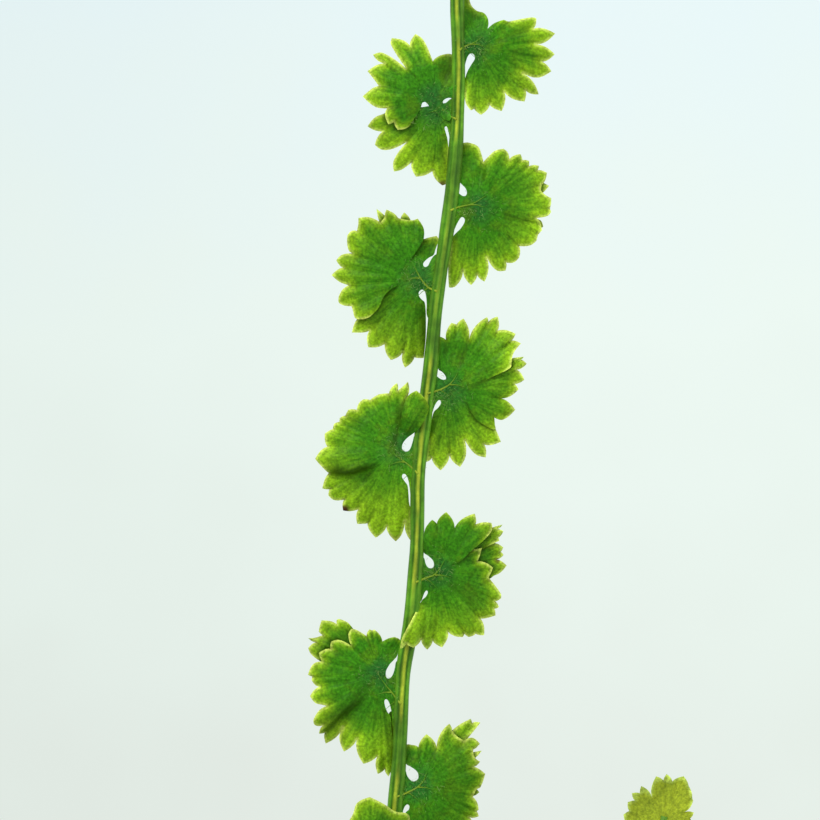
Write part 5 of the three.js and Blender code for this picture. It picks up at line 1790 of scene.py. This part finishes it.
HABITS = (
    Habit(352, 9, 7.4, 171.4, 14.6, 1, 0, -78, 0.84, 0.74, 2.0),
    Habit(36, 11, 21, 288, 106, 1.7, -14, 24, 0.98),
    Habit(100, 13.5, 30, 226, 118, 1.4, -8, -10, 0.92),
    Habit(148, 11, 24, 268, 112, 1.6, 10, -22, 0.96),
    Habit(188, 11, 16, 290, 100, 1.9, -8, 26, 1.0),
    Habit(228, 12, 31, 240, 118, 1.4, 10, 16, 0.94),
    Habit(274, 11, 26, 246, 114, 1.5, 8, -12, 0.95),
    Habit(318, 11, 24, 272, 108, 1.7, 8, -20, 0.98),
)


class LeaningFrond(Frond):
    """A frond that arches outwards from the crown."""

    def __init__(self, index: int, habit: Habit, maker: BladeMaker) -> None:
        """Takes the frond's number among the leaning ones and its habit.

        Args:
            index: the frond's number.
            habit: how it grows.
            maker: what makes its leaflets.
        """
        super().__init__(f"frond_{index + 2:02d}", habit.stalk(), maker)
        self.habit = habit
        self.index = index

    def build(self) -> None:
        """Builds the frond as one piece."""
        seed = 1000 * (self.index + 1)
        pile = self.stalk_pile(4.0, seed)
        side = 1 if self.index % 2 else -1
        end = self.stalk.length - 4.0 * self.habit.size
        self.add_row(pile, Row(SIZES.bare, end, self.habit.size, seed, side))
        self.add_end(pile, self.habit.end, seed + 7, self.habit.end_tone)
        self.dress(pile, f"{self.node}_green", ChaffScale())


class TallFrond(Frond):
    """The tallest frond, which stands at the back of the crown and carries the drawn leaflets."""

    # The rows of common leaflets: heights from and to, size, seed and first side.
    ROWS: ClassVar[tuple[tuple[float, ...], ...]] = ((136, 239, 0.98, 50, 1), (365.5, 442, 1.0, 80, -1))
    HAIRS: ClassVar[int] = 110  # hairs round each drawn leaflet's hub
    GROWN: ClassVar[float] = 1.005  # the drawn outlines run along the middle of the soft rim
    MIDDLE: ClassVar[tuple[float, float]] = (10.0, 303.0)  # across and up, the middle of the drawn stretch
    # The middle of the stalk in that stretch: places across and up from MIDDLE.
    DRAWN_STALK: ClassVar[tuple[tuple[float, float], ...]] = (
        (-2.0, -51.25), (-1.35, -43.75), (-0.88, -33), (0.03, -27.1), (0.85, -17.5), (1.02, -8),
        (2.05, 1.25), (2.6, 5.5), (3.33, 13.75), (4.98, 25), (5.53, 30), (5.92, 36.25), (6.06, 43.75),
        (5.9, 51.25),
    )
    # Heights, from the middle of the drawn stretch, where the ridge is dry and pale, and where leaflets shade
    # the stalk, which gets painted shade there.
    PALE: ClassVar[tuple[tuple[float, float], ...]] = (
        (-150, -47), (-37, -29), (-20, -16), (-11, -5), (1, 4.5), (36, 44), (51, 150),
    )
    SHADED: ClassVar[tuple[tuple[float, float], ...]] = ((-43.5, -39.5), (8.5, 9.5), (29.5, 32))
    # The stalk's heights and places across, below and above that stretch, and its heights and places back.
    BELOW: ClassVar[tuple[tuple[float, float], ...]] = (
        (86, 1.5), (106, 2.0), (150, 3.6), (200, 5.6), (232, 7.0),
    )
    ABOVE: ClassVar[tuple[tuple[float, float], ...]] = ((372, 16.2), (394, 16.7), (416, 17.6), (444, 20))
    BACK: ClassVar[tuple[tuple[float, float], ...]] = (
        (86, 9), (106, 9.6), (150, 11.4), (200, 13.6), (252, 14.6), (354, 15.5), (374, 16.8), (394, 20),
        (416, 26.5), (432, 34), (444, 42),
    )

    def __init__(self, maker: BladeMaker, fine: BladeMaker) -> None:
        """Takes how the common blades and the drawn blades are made."""
        super().__init__("frond_01", self._stalk(), maker)
        self.fine = fine

    @staticmethod
    def _through(table: Sequence[tuple[float, float]], height: float) -> float:
        """Runs a smooth curve through a table.

        Args:
            table: heights and values.
            height: where the curve is read.

        Returns:
            The curve's value there.
        """
        last = len(table) - 1
        above = next((k for k, (z, _) in enumerate(table) if z >= height), last)
        i = min(max(above, 1), last) - 1

        def slope(k: int) -> float:
            """Returns the table's slope at one row."""
            before, after = table[max(k - 1, 0)], table[min(k + 1, last)]
            return (after[1] - before[1]) / (after[0] - before[0])

        (z0, v0), (z1, v1) = table[i], table[i + 1]
        t = (height - z0) / (z1 - z0)
        ends = v0 * (1 + 2 * t) * (1 - t) ** 2 + v1 * t * t * (3 - 2 * t)
        return ends + (z1 - z0) * (slope(i) * t * (1 - t) ** 2 - slope(i + 1) * t * t * (1 - t))

    def _stalk(self) -> Stalk:
        """Returns the tallest stalk: up through the drawn stretch, to a tip that nods back."""
        # Across and back run smoothly through their tables, a point for each millimetre of height.
        drawn = [(self.MIDDLE[1] + up, self.MIDDLE[0] + right) for right, up in self.DRAWN_STALK]
        across = [*self.BELOW, *drawn, *self.ABOVE]
        heights = np.arange(SIZES.foot_height, self.BACK[-1][0] + 0.5, 1.0)
        path = [[self._through(across, z), self._through(self.BACK, z), z] for z in heights]
        zero = self.MIDDLE[1]
        stretches = [[(zero + low, zero + high) for low, high in group] for group in (self.PALE, self.SHADED)]
        return Stalk(np.array(path), lambda share, tangent: RIGHT, TALL_SIZES, stretches)

    def build(self) -> None:
        """Builds the frond as a stalk, its drawn leaflets and its other leaflets."""
        self.dress(self.stalk_pile(1.5, 77), "frond_01_stalk", ChaffScale())
        for side, name in ((1, "frond_01_right_leaflets"), (-1, "frond_01_left_leaflets")):
            drawn = Pile()
            for number, leaflet in enumerate(DRAWN):
                if leaflet.side == side:
                    self.add_drawn(drawn, leaflet, number)
            self.dress(drawn, name)
        others = Pile()
        for low, high, size, seed, side in self.ROWS:
            start, end = self.stalk.along_at(low), self.stalk.along_at(high)
            self.add_row(others, Row(start, end, size, seed, side, 2))
        self.add_end(others, 0.36, 60, 0.45)
        self.dress(others, "frond_01_other_leaflets")

    def add_drawn(self, pile: Pile, leaflet: DrawnLeaflet, number: int) -> None:
        """Adds a drawn leaflet: its layers, the pale vein on its little stalk, and its hairs.

        Args:
            pile: what it is added to.
            leaflet: the leaflet.
            number: its place in the row, which shifts its rim's waves.
        """
        right, up = leaflet.hub
        height = self.MIDDLE[1] + up
        meets = self.stalk.at(self.stalk.along_at(height - leaflet.drop))
        hub = np.array([self.MIDDLE[0] + right, self.stalk.at(self.stalk.along_at(height)).point[1], height])
        axes = Axes(hub, np.array([float(leaflet.side), 0.0, 0.0]), UP, np.array([0.0, -1.0, 0.0]))
        stem = abs(hub[0] - meets.point[0])
        phase = 1.7 * number
        for sheet in leaflet.sheets:
            # Each layer gets a painted shadow along the edges of the layers that stand in front of it.
            front = [other for other in leaflet.sheets if other.lift > sheet.lift + 0.1]
            covers = [self.fine.outline(other, self.GROWN) for other in front]
            self.fine.add(pile, sheet, axes, self.GROWN, phase, leaflet.spots, covers)
        self._add_veins(pile, leaflet, axes, stem)
        self._add_hairs(pile, leaflet, axes, stem, number)

    def _add_veins(self, pile: Pile, leaflet: DrawnLeaflet, axes: Axes, stem: float) -> None:
        """Adds the pale strand that leaves the stalk's ridge and climbs the neck, and its two branches.

        Args:
            pile: what they are added to.
            leaflet: the leaflet.
            axes: where it sits.
            stem: how far its hub lies from the stalk's middle.
        """
        strand = np.array([(-stem + 0.12, leaflet.vein[0][1] - 0.45), *leaflet.vein])
        fork = strand[2]
        branches = (
            (strand, 0.15, 0.1),
            (np.array([fork, fork + (0.9, 0.0), fork + (2.0, -0.35)]), 0.1, 0.35),
            (np.array([strand[1], strand[1] + (0.7, -0.45), strand[1] + (1.7, -1.4)]), 0.07, 0.6),
        )
        for line, thick, pale in branches:
            shares = np.linspace(0.0, 1.0, 16)
            knots = np.linspace(0.0, 1.0, len(line))
            flat = np.column_stack([np.interp(shares, knots, line[:, axis]) for axis in range(2)])
            for _ in range(2):
                flat[1:-1] = 0.25 * flat[:-2] + 0.5 * flat[1:-1] + 0.25 * flat[2:]
            climb = 0.4 * smooth(-flat[:, 0], 0.7, 2.8) + 0.3 * smooth(-flat[:, 0], stem - 0.9, stem)
            radii = thick * (1.0 - 0.75 * shares)
            place = np.column_stack([np.full(len(flat), 0.5), 3.0 * shares, np.zeros(len(flat))])
            trait = np.column_stack([pale + (0.95 - pale) * shares, np.ones(len(flat)), np.zeros(len(flat))])
            tube(pile, axes.place(flat, 0.1 + climb), radii, place, trait, Slot.STALK.value, 6)

    def _add_hairs(self, pile: Pile, leaflet: DrawnLeaflet, axes: Axes, stem: float, number: int) -> None:
        """Adds the fine hairs round the hub and on the little stalk.

        Args:
            pile: what they are added to.
            leaflet: the leaflet.
            axes: where it sits.
            stem: how far its hub lies from the stalk's middle.
            number: the leaflet's place in the row, which starts the draws.
        """
        chance = np.random.default_rng(4100 + number)
        for _ in range(self.HAIRS):
            if chance.random() < 0.4:
                share = chance.random()
                spot = np.array([-stem * share, -leaflet.drop * share]) + chance.normal(0.0, 0.35, 2)
            else:
                angle = chance.uniform(-2.2, 2.2)
                spot = chance.uniform(0.3, 3.4) * np.array([math.cos(angle), math.sin(angle)])
            lean = chance.normal(0.0, 0.8, 2)
            length = chance.uniform(0.2, 0.45)
            flat = np.vstack([spot, spot + 0.5 * lean * length, spot + lean * length])
            lift = 0.1 + 0.4 * float(smooth(-spot[0], 0.7, 2.8)) + np.array([0.0, 0.6, 0.9]) * length
            place = np.zeros((3, 3))
            tube(pile, axes.place(flat, lift), (0.022, 0.017, 0.005), place, place, Slot.HAIR.value, 3)


def add_foot_scales(pile: Pile, stalk: Stalk, seed: int, count: int = 30) -> None:
    """Adds the papery scales that clothe the foot of a stalk.

    Args:
        pile: what they are added to.
        stalk: the stalk.
        seed: the number that their draws start from.
        count: how many there are.
    """
    chance = np.random.default_rng(seed + 9)
    for _ in range(count):
        along = 8.0 + 34.0 * chance.random() ** 1.6
        at = stalk.at(along)
        turn = chance.uniform(0.0, 2.0 * math.pi)
        outward = math.cos(turn) * at.right + math.sin(turn) * at.normal
        sideways = np.cross(outward, at.tangent)
        lean = chance.uniform(0.2, 0.7)
        rise = chance.choice([1.0, 1.0, -0.6])
        tip_way = unit(at.tangent * math.cos(lean) * rise + outward * math.sin(lean))
        add_scale(
            pile, at.point + outward * at.radius * 0.86, tip_way, sideways, chance.uniform(3.0, 5.5),
            chance.uniform(0.45, 0.8), Slot.SCALE.value,
        )


def add_scale(
    pile: Pile, start: np.ndarray, way: np.ndarray, sideways: np.ndarray, length: float, width: float,
    slot: int,
) -> None:
    """Adds one papery lance-shaped scale, a closed thin blade with a bend.

    Args:
        pile: what it is added to.
        start: where it is attached.
        way: the direction that it points in.
        sideways: the direction across it.
        length: how long it is.
        width: half its width at its widest.
        slot: the slot of its finish.
    """
    sideways = unit(sideways - way * np.dot(sideways, way))
    outward = np.cross(sideways, way)
    outline = ((0.0, 0.45), (0.18, 1.0), (0.42, 0.85), (0.7, 0.42), (1.0, 0.0))
    points, places = [], []
    for share, half in outline:
        middle = start + way * length * share + outward * (0.16 * length * share * share)
        for side in (-1.0, 0.0, 1.0):
            crown = 0.18 * width * (1.0 - abs(side)) * half
            points.append(middle + sideways * width * half * side + outward * crown)
            places.append((0.1 + 0.35 * abs(side), share, 0.0))
    upper = np.array(points)
    count = len(upper)
    corners = np.array([0, 1, 4, 3])
    top = np.array([3 * row + column + corners for row in range(len(outline) - 1) for column in range(2)])
    rim = np.array([0, 1, 2, 5, 8, 11, 14, 13, 12, 9, 6, 3])
    after = np.roll(rim, -1)
    walls = np.column_stack([after, rim, rim + count, after + count])
    faces = np.vstack([top, top[:, ::-1] + count, walls])
    pile.add(np.vstack([upper, upper - outward * 0.06]), faces, np.array(places * 2), slot=slot)


# Pot, mix and rootstock


@dataclass(frozen=True)
class ClayPot:
    """A thrown clay pot: tapered wall, thick rim band, and a flat floor with three drain holes."""

    height: float = 100.0
    base_radius: float = 40.0
    shoulder_radius: float = 51.0
    rim_radius: float = 57.0
    rim_height: float = 22.0
    wall: float = 4.5
    floor: float = 6.0
    edge: float = 1.5
    drain_radius: float = 4.0
    drain_circle: float = 18.0
    drain_count: int = 3
    sides: int = 160
    wobble: float = 0.12  # how far the thrown wall wanders

    def profile(self) -> list[tuple[float, float]]:
        """Returns the pot's profile as radii and heights, from the middle of its underside round."""
        height, band, edge, wall = self.height, self.height - self.rim_height, self.edge, self.wall
        base, shoulder, rim = self.base_radius, self.shoulder_radius, self.rim_radius
        bore, bulge = rim - wall, shoulder - base
        return [
            (0.0, 0.0), (base - edge, 0.0), (base - 0.35 * edge, 0.3 * edge), (base, edge),
            (base + 0.35 * bulge, 0.35 * band), (base + 0.7 * bulge, 0.7 * band), (shoulder, band),
            (rim - edge, band), (rim - 0.4 * edge, band + 0.3 * edge), (rim, band + edge),
            (rim + 0.5, band + 11.0), (rim + 1.0, height - edge), (rim + 0.7, height - 0.4 * edge),
            (rim + 1.0 - edge, height), (bore + edge, height), (bore + 0.3 * edge, height - 0.4 * edge),
            (bore, height - edge), (bore - 1.0, band), (shoulder - wall, band - wall),
            (base - wall + 1.0, self.floor + edge), (base - wall - 1.0, self.floor), (0.0, self.floor),
        ]

    def build(self) -> None:
        """Builds the pot, bores its drain holes and seats it."""
        made = turned_pile(self.profile(), self.sides, self.wobble).piece("pot_clay", (FiredClay(),))
        for i in range(self.drain_count):
            borer = self._borer(compass(90.0 + 360.0 * i / self.drain_count) * self.drain_circle)
            cut = made.modifiers.new("drain", "BOOLEAN")
            cut.operation, cut.solver, cut.object = "DIFFERENCE", "EXACT", borer
            bpy.context.view_layer.update()
            bored = bpy.data.meshes.new_from_object(made.evaluated_get(bpy.context.evaluated_depsgraph_get()))
            made.modifiers.remove(cut)
            made.data = bored
            bpy.data.objects.remove(borer)
        settle(made, "pot")

    def _borer(self, place: np.ndarray) -> bpy.types.Object:
        """Returns a round rod that cuts one drain hole.

        Args:
            place: where the hole comes, in millimetres.

        Returns:
            The rod.
        """
        radius, low, high = self.drain_radius, -8.0, 2.0 * self.floor
        profile = [(0.0, low), (radius, low), (radius, high), (0.0, high)]
        rod = turned_pile(profile, 32).piece("borer", (FiredClay(),))
        rod.location = Vector(place * MM)
        return rod


def turned_pile(profile: Sequence[tuple[float, float]], sides: int, wobble: float = 0.0) -> Pile:
    """Makes a turned solid whose profile starts and ends on the axis.

    Args:
        profile: radii and heights, from the bottom's middle outwards and round to the top's middle.
        sides: how many sides it has.
        wobble: how far its radius wanders inwards, as a hand-thrown wall does.

    Returns:
        A pile with the solid.
    """
    angles = 2.0 * math.pi * np.arange(sides) / sides
    rings = []
    for radius, height in profile[1:-1]:
        swing = 0.5 + 0.5 * np.sin(3 * angles + 0.05 * height)
        wander = wobble * swing * (0.5 + 0.5 * math.sin(0.11 * height))
        rings.append(circle(radius - wander, height, sides))
    pile = Pile()
    add_rings(pile, rings, profile[0][1], profile[-1][1])
    return pile


def pebble_form() -> tuple[np.ndarray, np.ndarray]:
    """Returns the points and triangles of a small round form that crumbs are bent from."""
    shape = bmesh.new()
    bmesh.ops.create_icosphere(shape, subdivisions=2, radius=1.0)
    points = np.array([tuple(v.co) for v in shape.verts])
    faces = np.array([[v.index for v in f.verts] for f in shape.faces])
    shape.free()
    return points, faces


@dataclass(frozen=True)
class MixBed:
    """The potting mix: a lumpy bed a finger's width under the rim, strewn with crumbs and bark."""

    top: float = 86.0
    radius: float = 48.0
    hole: float = 17.0
    rings: int = 44
    sides: int = 120
    crumbs: int = 620
    chips: int = 90
    # The radii and heights of the plug under the bed, from its underside up.
    plug: tuple[tuple[float, float], ...] = ((33.1, 6.3), (35.9, 8.5), (46.0, 73.5), (48.0, 82.0))

    def height(self, x: float, y: float) -> float:
        """Returns the height of the bed's surface at a place.

        Args:
            x: a place across.
            y: a place back.

        Returns:
            The height in millimetres.
        """
        lumps = math.sin(0.31 * x + 1.3) * math.cos(0.27 * y - 0.4) + 0.6 * math.sin(0.17 * (x - y) + 2)
        coarse = noise.noise(Vector((0.35 * x, 0.35 * y, 3.0)))
        fine = noise.noise(Vector((0.9 * x, 0.9 * y, 7.0)))
        return self.top + lumps + 0.7 * (coarse + 0.5 * fine)

    def build(self) -> None:
        """Builds the bed and what is strewn on it."""
        pile = Pile()
        self._add_bed(pile)
        chance = np.random.default_rng(51)
        form, faces = pebble_form()
        for _ in range(self.crumbs):
            self._strew(pile, chance, form, faces, chance.uniform(0.5, 1.5), (1.0, 1.0, 0.75), 0)
        for _ in range(self.chips):
            flat = (1.0, chance.uniform(0.4, 0.7), 0.22)
            self._strew(pile, chance, form, faces, chance.uniform(1.6, 3.6), flat, 1)
        made = pile.piece("soil_mix", (PottingMix(), BarkChip()))
        settle(made, "soil")

    def _add_bed(self, pile: Pile) -> None:
        """Adds the bed as a closed body with its lumpy top.

        Args:
            pile: what it is added to.
        """
        rings = [circle(radius, height, self.sides) for radius, height in self.plug]
        for share in np.arange(self.rings) / (self.rings - 1):
            ring = circle(lerp(self.radius, self.hole - 2.0, share), 0.0, self.sides)
            ring[:, 2] = [self.height(x, y) for x, y, _ in ring]
            rings.append(ring)
        add_rings(pile, rings, self.plug[0][1], self.top)

    def _strew(
        self, pile: Pile, chance: np.random.Generator, form: np.ndarray, faces: np.ndarray, size: float,
        squash: tuple[float, float, float], slot: int,
    ) -> None:
        """Adds one crumb or chip that lies half sunk in the bed.

        Args:
            pile: what it is added to.
            chance: the draws.
            form: the round form's points.
            faces: its triangles.
            size: its radius.
            squash: its proportions.
            slot: the slot of its finish.
        """
        radius = math.sqrt(chance.uniform((self.hole + 0.5) ** 2, (self.radius - 2.2) ** 2))
        heading = chance.uniform(0.0, 2.0 * math.pi)
        x, y = radius * math.cos(heading), radius * math.sin(heading)
        shake = chance.uniform(-10, 10, 3)
        swells = np.array([1.0 + 0.45 * noise.noise(Vector(p * 1.7 + shake)) for p in form])
        turn = Matrix.Rotation(chance.uniform(0, 6.28), 3, "Z")
        spin = np.array(turn @ Matrix.Rotation(chance.normal(0, 0.35), 3, "X"))
        height = self.height(x, y) + 0.25 * size * squash[2]
        pile.add((form * swells[:, None] * squash * size) @ spin.T + (x, y, height), faces, slot=slot)


@dataclass(frozen=True)
class Rootstock:
    """The scaly dome that the fronds rise from, with the stubs of old stalks."""

    # The dome's heights and radii.
    dome: tuple[tuple[float, float], ...] = (
        (66.0, 16.8), (88.0, 17.0), (90.0, 16.2), (95.0, 13.4), (98.0, 8.5), (99.2, 0.0),
    )
    shoulder: float = 90.0
    rough_from: float = 88.5  # the height over which its skin is cracked
    top: float = 99.1
    sides: int = 72
    stub_circle: float = 12.5
    stub_headings: tuple[float, ...] = (14, 124, 168, 208, 251, 296, 335)
    scales: int = 420

    def surface(self, heading: float, height: float) -> float:
        """Returns the dome's radius in one direction at one height."""
        radius = float(np.interp(height, *zip(*self.dome)))
        return radius * (1.0 + 0.06 * math.sin(5 * heading + 0.5 * height) if height > 88 else 1.0)

    def build(self) -> None:
        """Builds the dome, its stubs and its scales."""
        pile = Pile()
        bottom = self.dome[0][0]
        rings = []
        for height in (bottom, 84.0, 88.0, *np.linspace(89.0, 98.9, 16)):
            ring = []
            for side in range(self.sides):
                heading = 2.0 * math.pi * side / self.sides
                radius = self.surface(heading, height)
                if height > self.rough_from:
                    x, y = radius * math.cos(heading), radius * math.sin(heading)
                    radius -= 0.5 * abs(noise.noise(Vector((0.4 * x, 0.4 * y, 0.4 * height))))
                ring.append((radius * math.cos(heading), radius * math.sin(heading), height))
            rings.append(np.array(ring))
        add_rings(pile, rings, bottom, self.top)
        self._add_stubs(pile)
        self._add_scales(pile)
        made = pile.piece("crown_rootstock", (Rootwood(), ChaffScale()))
        settle(made, "crown")

    def _add_stubs(self, pile: Pile) -> None:
        """Adds the stubs of old stalks, broken off short.

        Args:
            pile: what they are added to.
        """
        for i, heading in enumerate(self.stub_headings):
            lean = 0.7 + 0.2 * draw(300 + i)
            length = 11.0 + 4.0 * draw(330 + i)
            aim = compass(heading) * math.sin(lean) + UP * math.cos(lean)
            foot = compass(heading) * self.stub_circle + UP * self.shoulder
            shares = np.linspace(0.0, 1.0, 9)
            start, end = foot + aim * (4.0 - length / 2.0), foot + aim * (4.0 + length / 2.0)
            line = start + shares[:, None] * (end - start)
            radii = np.interp(shares, [0.0, 0.9, 1.0], [1.7, 1.0, 0.75]) * (1 + 0.06 * np.sin(9 * shares + i))
            zero = np.zeros((len(line), 3))
            tube(pile, line, radii, zero, zero, 0, 12)

    def _add_scales(self, pile: Pile) -> None:
        """Adds the papery scales over the dome, pointing up and outwards.

        Args:
            pile: what they are added to.
        """
        chance = np.random.default_rng(88)
        for _ in range(self.scales):
            height = 88.0 + 10.6 * chance.random() ** 0.8
            heading = chance.uniform(0.0, 2.0 * math.pi)
            radius = self.surface(heading, height) - 0.4
            outward = np.array([math.cos(heading), math.sin(heading), 0.0])
            steep = float(smooth(height, 90.0, 98.5))
            normal = unit(outward * (1.0 - 0.8 * steep) + UP * (0.2 + 0.8 * steep))
            climb = unit(UP - normal * normal[2] + outward * 0.15 + chance.normal(0, 0.25, 3))
            way = unit(climb + normal * chance.uniform(0.15, 0.6))
            add_scale(
                pile, outward * radius + UP * height, way, np.cross(normal, way), chance.uniform(2.6, 5.0),
                chance.uniform(0.5, 0.95), 1,
            )


# Studio


@dataclass(frozen=True)
class Studio:
    """The pale floor, the soft light and the camera that looks level at the upright stretch."""

    lens: float = 135.0
    sensor: float = 36.0
    middle: tuple[float, float, float] = (0.010, 0.015, 0.303)
    frame_width: float = 0.1025
    floor_radius: float = 1.75
    floor_drop: float = 0.05  # how far under the pot the paper lies, in millimetres

    def build(self) -> None:
        """Builds the floor, the sky, the lamps and the camera."""
        self._camera()
        self._floor()
        self._sky()
        self._lamp("key_lamp", (-1.1, -1.7, 2.1), 1.3, 60.0, "fffaf0")
        self._lamp("fill_lamp", (1.9, -1.2, 0.9), 1.6, 12.0, "f2fbff")

    def _camera(self) -> None:
        """Adds the camera at the distance where the frame is as wide as the stretch."""
        data = bpy.data.cameras.new("camera")
        data.lens, data.sensor_width = self.lens, self.sensor
        data.clip_start, data.clip_end = 0.01, 30.0
        camera = bpy.data.objects.new("camera", data)
        distance = self.frame_width * self.lens / self.sensor
        camera.location = (self.middle[0], self.middle[1] - distance, self.middle[2])
        camera.rotation_euler = (math.pi / 2.0, 0.0, 0.0)
        bpy.context.scene.collection.objects.link(camera)
        bpy.context.scene.camera = camera

    def _floor(self) -> None:
        """Adds the round sheet of paper that the pot stands on."""
        pile = Pile()
        low, sides = self.floor_drop, 96
        rings = [circle(self.floor_radius / MM * share, -low, sides) for share in (0.1, 0.5, 1.0)]
        # The walls between the rings, and the fan to its middle.
        faces = flipped(ring_faces(len(rings), sides))[: len(rings) * sides]
        pile.add(np.vstack([*rings, (0.0, 0.0, -low)]), faces)
        pile.piece("studio_floor", (StudioPaper(),))

    def _sky(self) -> None:
        """Adds the pale light all round, bluish above and greener below, dimmer as a light than to see."""
        world = bpy.data.worlds.new("studio_light")
        world.use_nodes = True
        tree = world.node_tree
        tree.nodes.clear()
        way = wire(tree, "ShaderNodeTexCoord", "Generated")
        across, _, up = way.parts()
        height = up + (way.mottle(22.0, 2.0, 0.4) * 0.09 + -0.045)
        place = wire(tree, "ShaderNodeMapRange", value=height, from_min=-0.15, from_max=0.15)
        seen = place.ramp((0.0, "e4ece5"), (0.3, "e9f4ed"), (0.6, "edf9f3"), (1.0, "e9f8fa"))
        seen = seen.scaled(across.span(-0.15, 0.06, 0.945, 1.0))
        shown = wire(tree, "ShaderNodeBackground", color=seen, strength=1.0)
        lighting = wire(tree, "ShaderNodeBackground", color=paint("eef6fa"), strength=0.62)
        sight = wire(tree, "ShaderNodeLightPath", "Is Camera Ray")
        both = wire(tree, "ShaderNodeMixShader", fac=sight, i1=lighting, i2=shown)
        add_node(tree, "ShaderNodeOutputWorld", surface=both)
        bpy.context.scene.world = world
        bpy.context.scene.view_settings.view_transform = "Standard"

    def _lamp(
        self, name: str, place: tuple[float, float, float], size: float, power: float, code: str
    ) -> None:
        """Adds a large soft lamp that points at the plant.

        Args:
            name: its name.
            place: where it hangs, in metres.
            size: its width in metres.
            power: its power in watts.
            code: its colour as an sRGB hex value.
        """
        data = bpy.data.lights.new(name, "AREA")
        data.shape, data.size, data.energy = "DISK", size, power
        data.color = paint(code)[:3]
        lamp = bpy.data.objects.new(name, data)
        lamp.location = place
        aim = Vector((0.0, 0.0, 0.2)) - Vector(place)
        lamp.rotation_euler = aim.to_track_quat("-Z", "Y").to_euler()
        bpy.context.scene.collection.objects.link(lamp)


def main() -> None:
    """Builds the plant and its studio round the frame."""
    logging.basicConfig(level=logging.INFO, format="%(name)s: %(message)s")
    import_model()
    Studio().build()
    fine = BladeMaker()
    common = BladeMaker(spacing=0.62, edge_spacing=0.42, round_rim=0.16)
    TallFrond(common, fine).build()
    for index, habit in enumerate(HABITS):
        LeaningFrond(index, habit, common).build()
    ClayPot().build()
    MixBed().build()
    Rootstock().build()


if __name__ == "__main__":
    main()
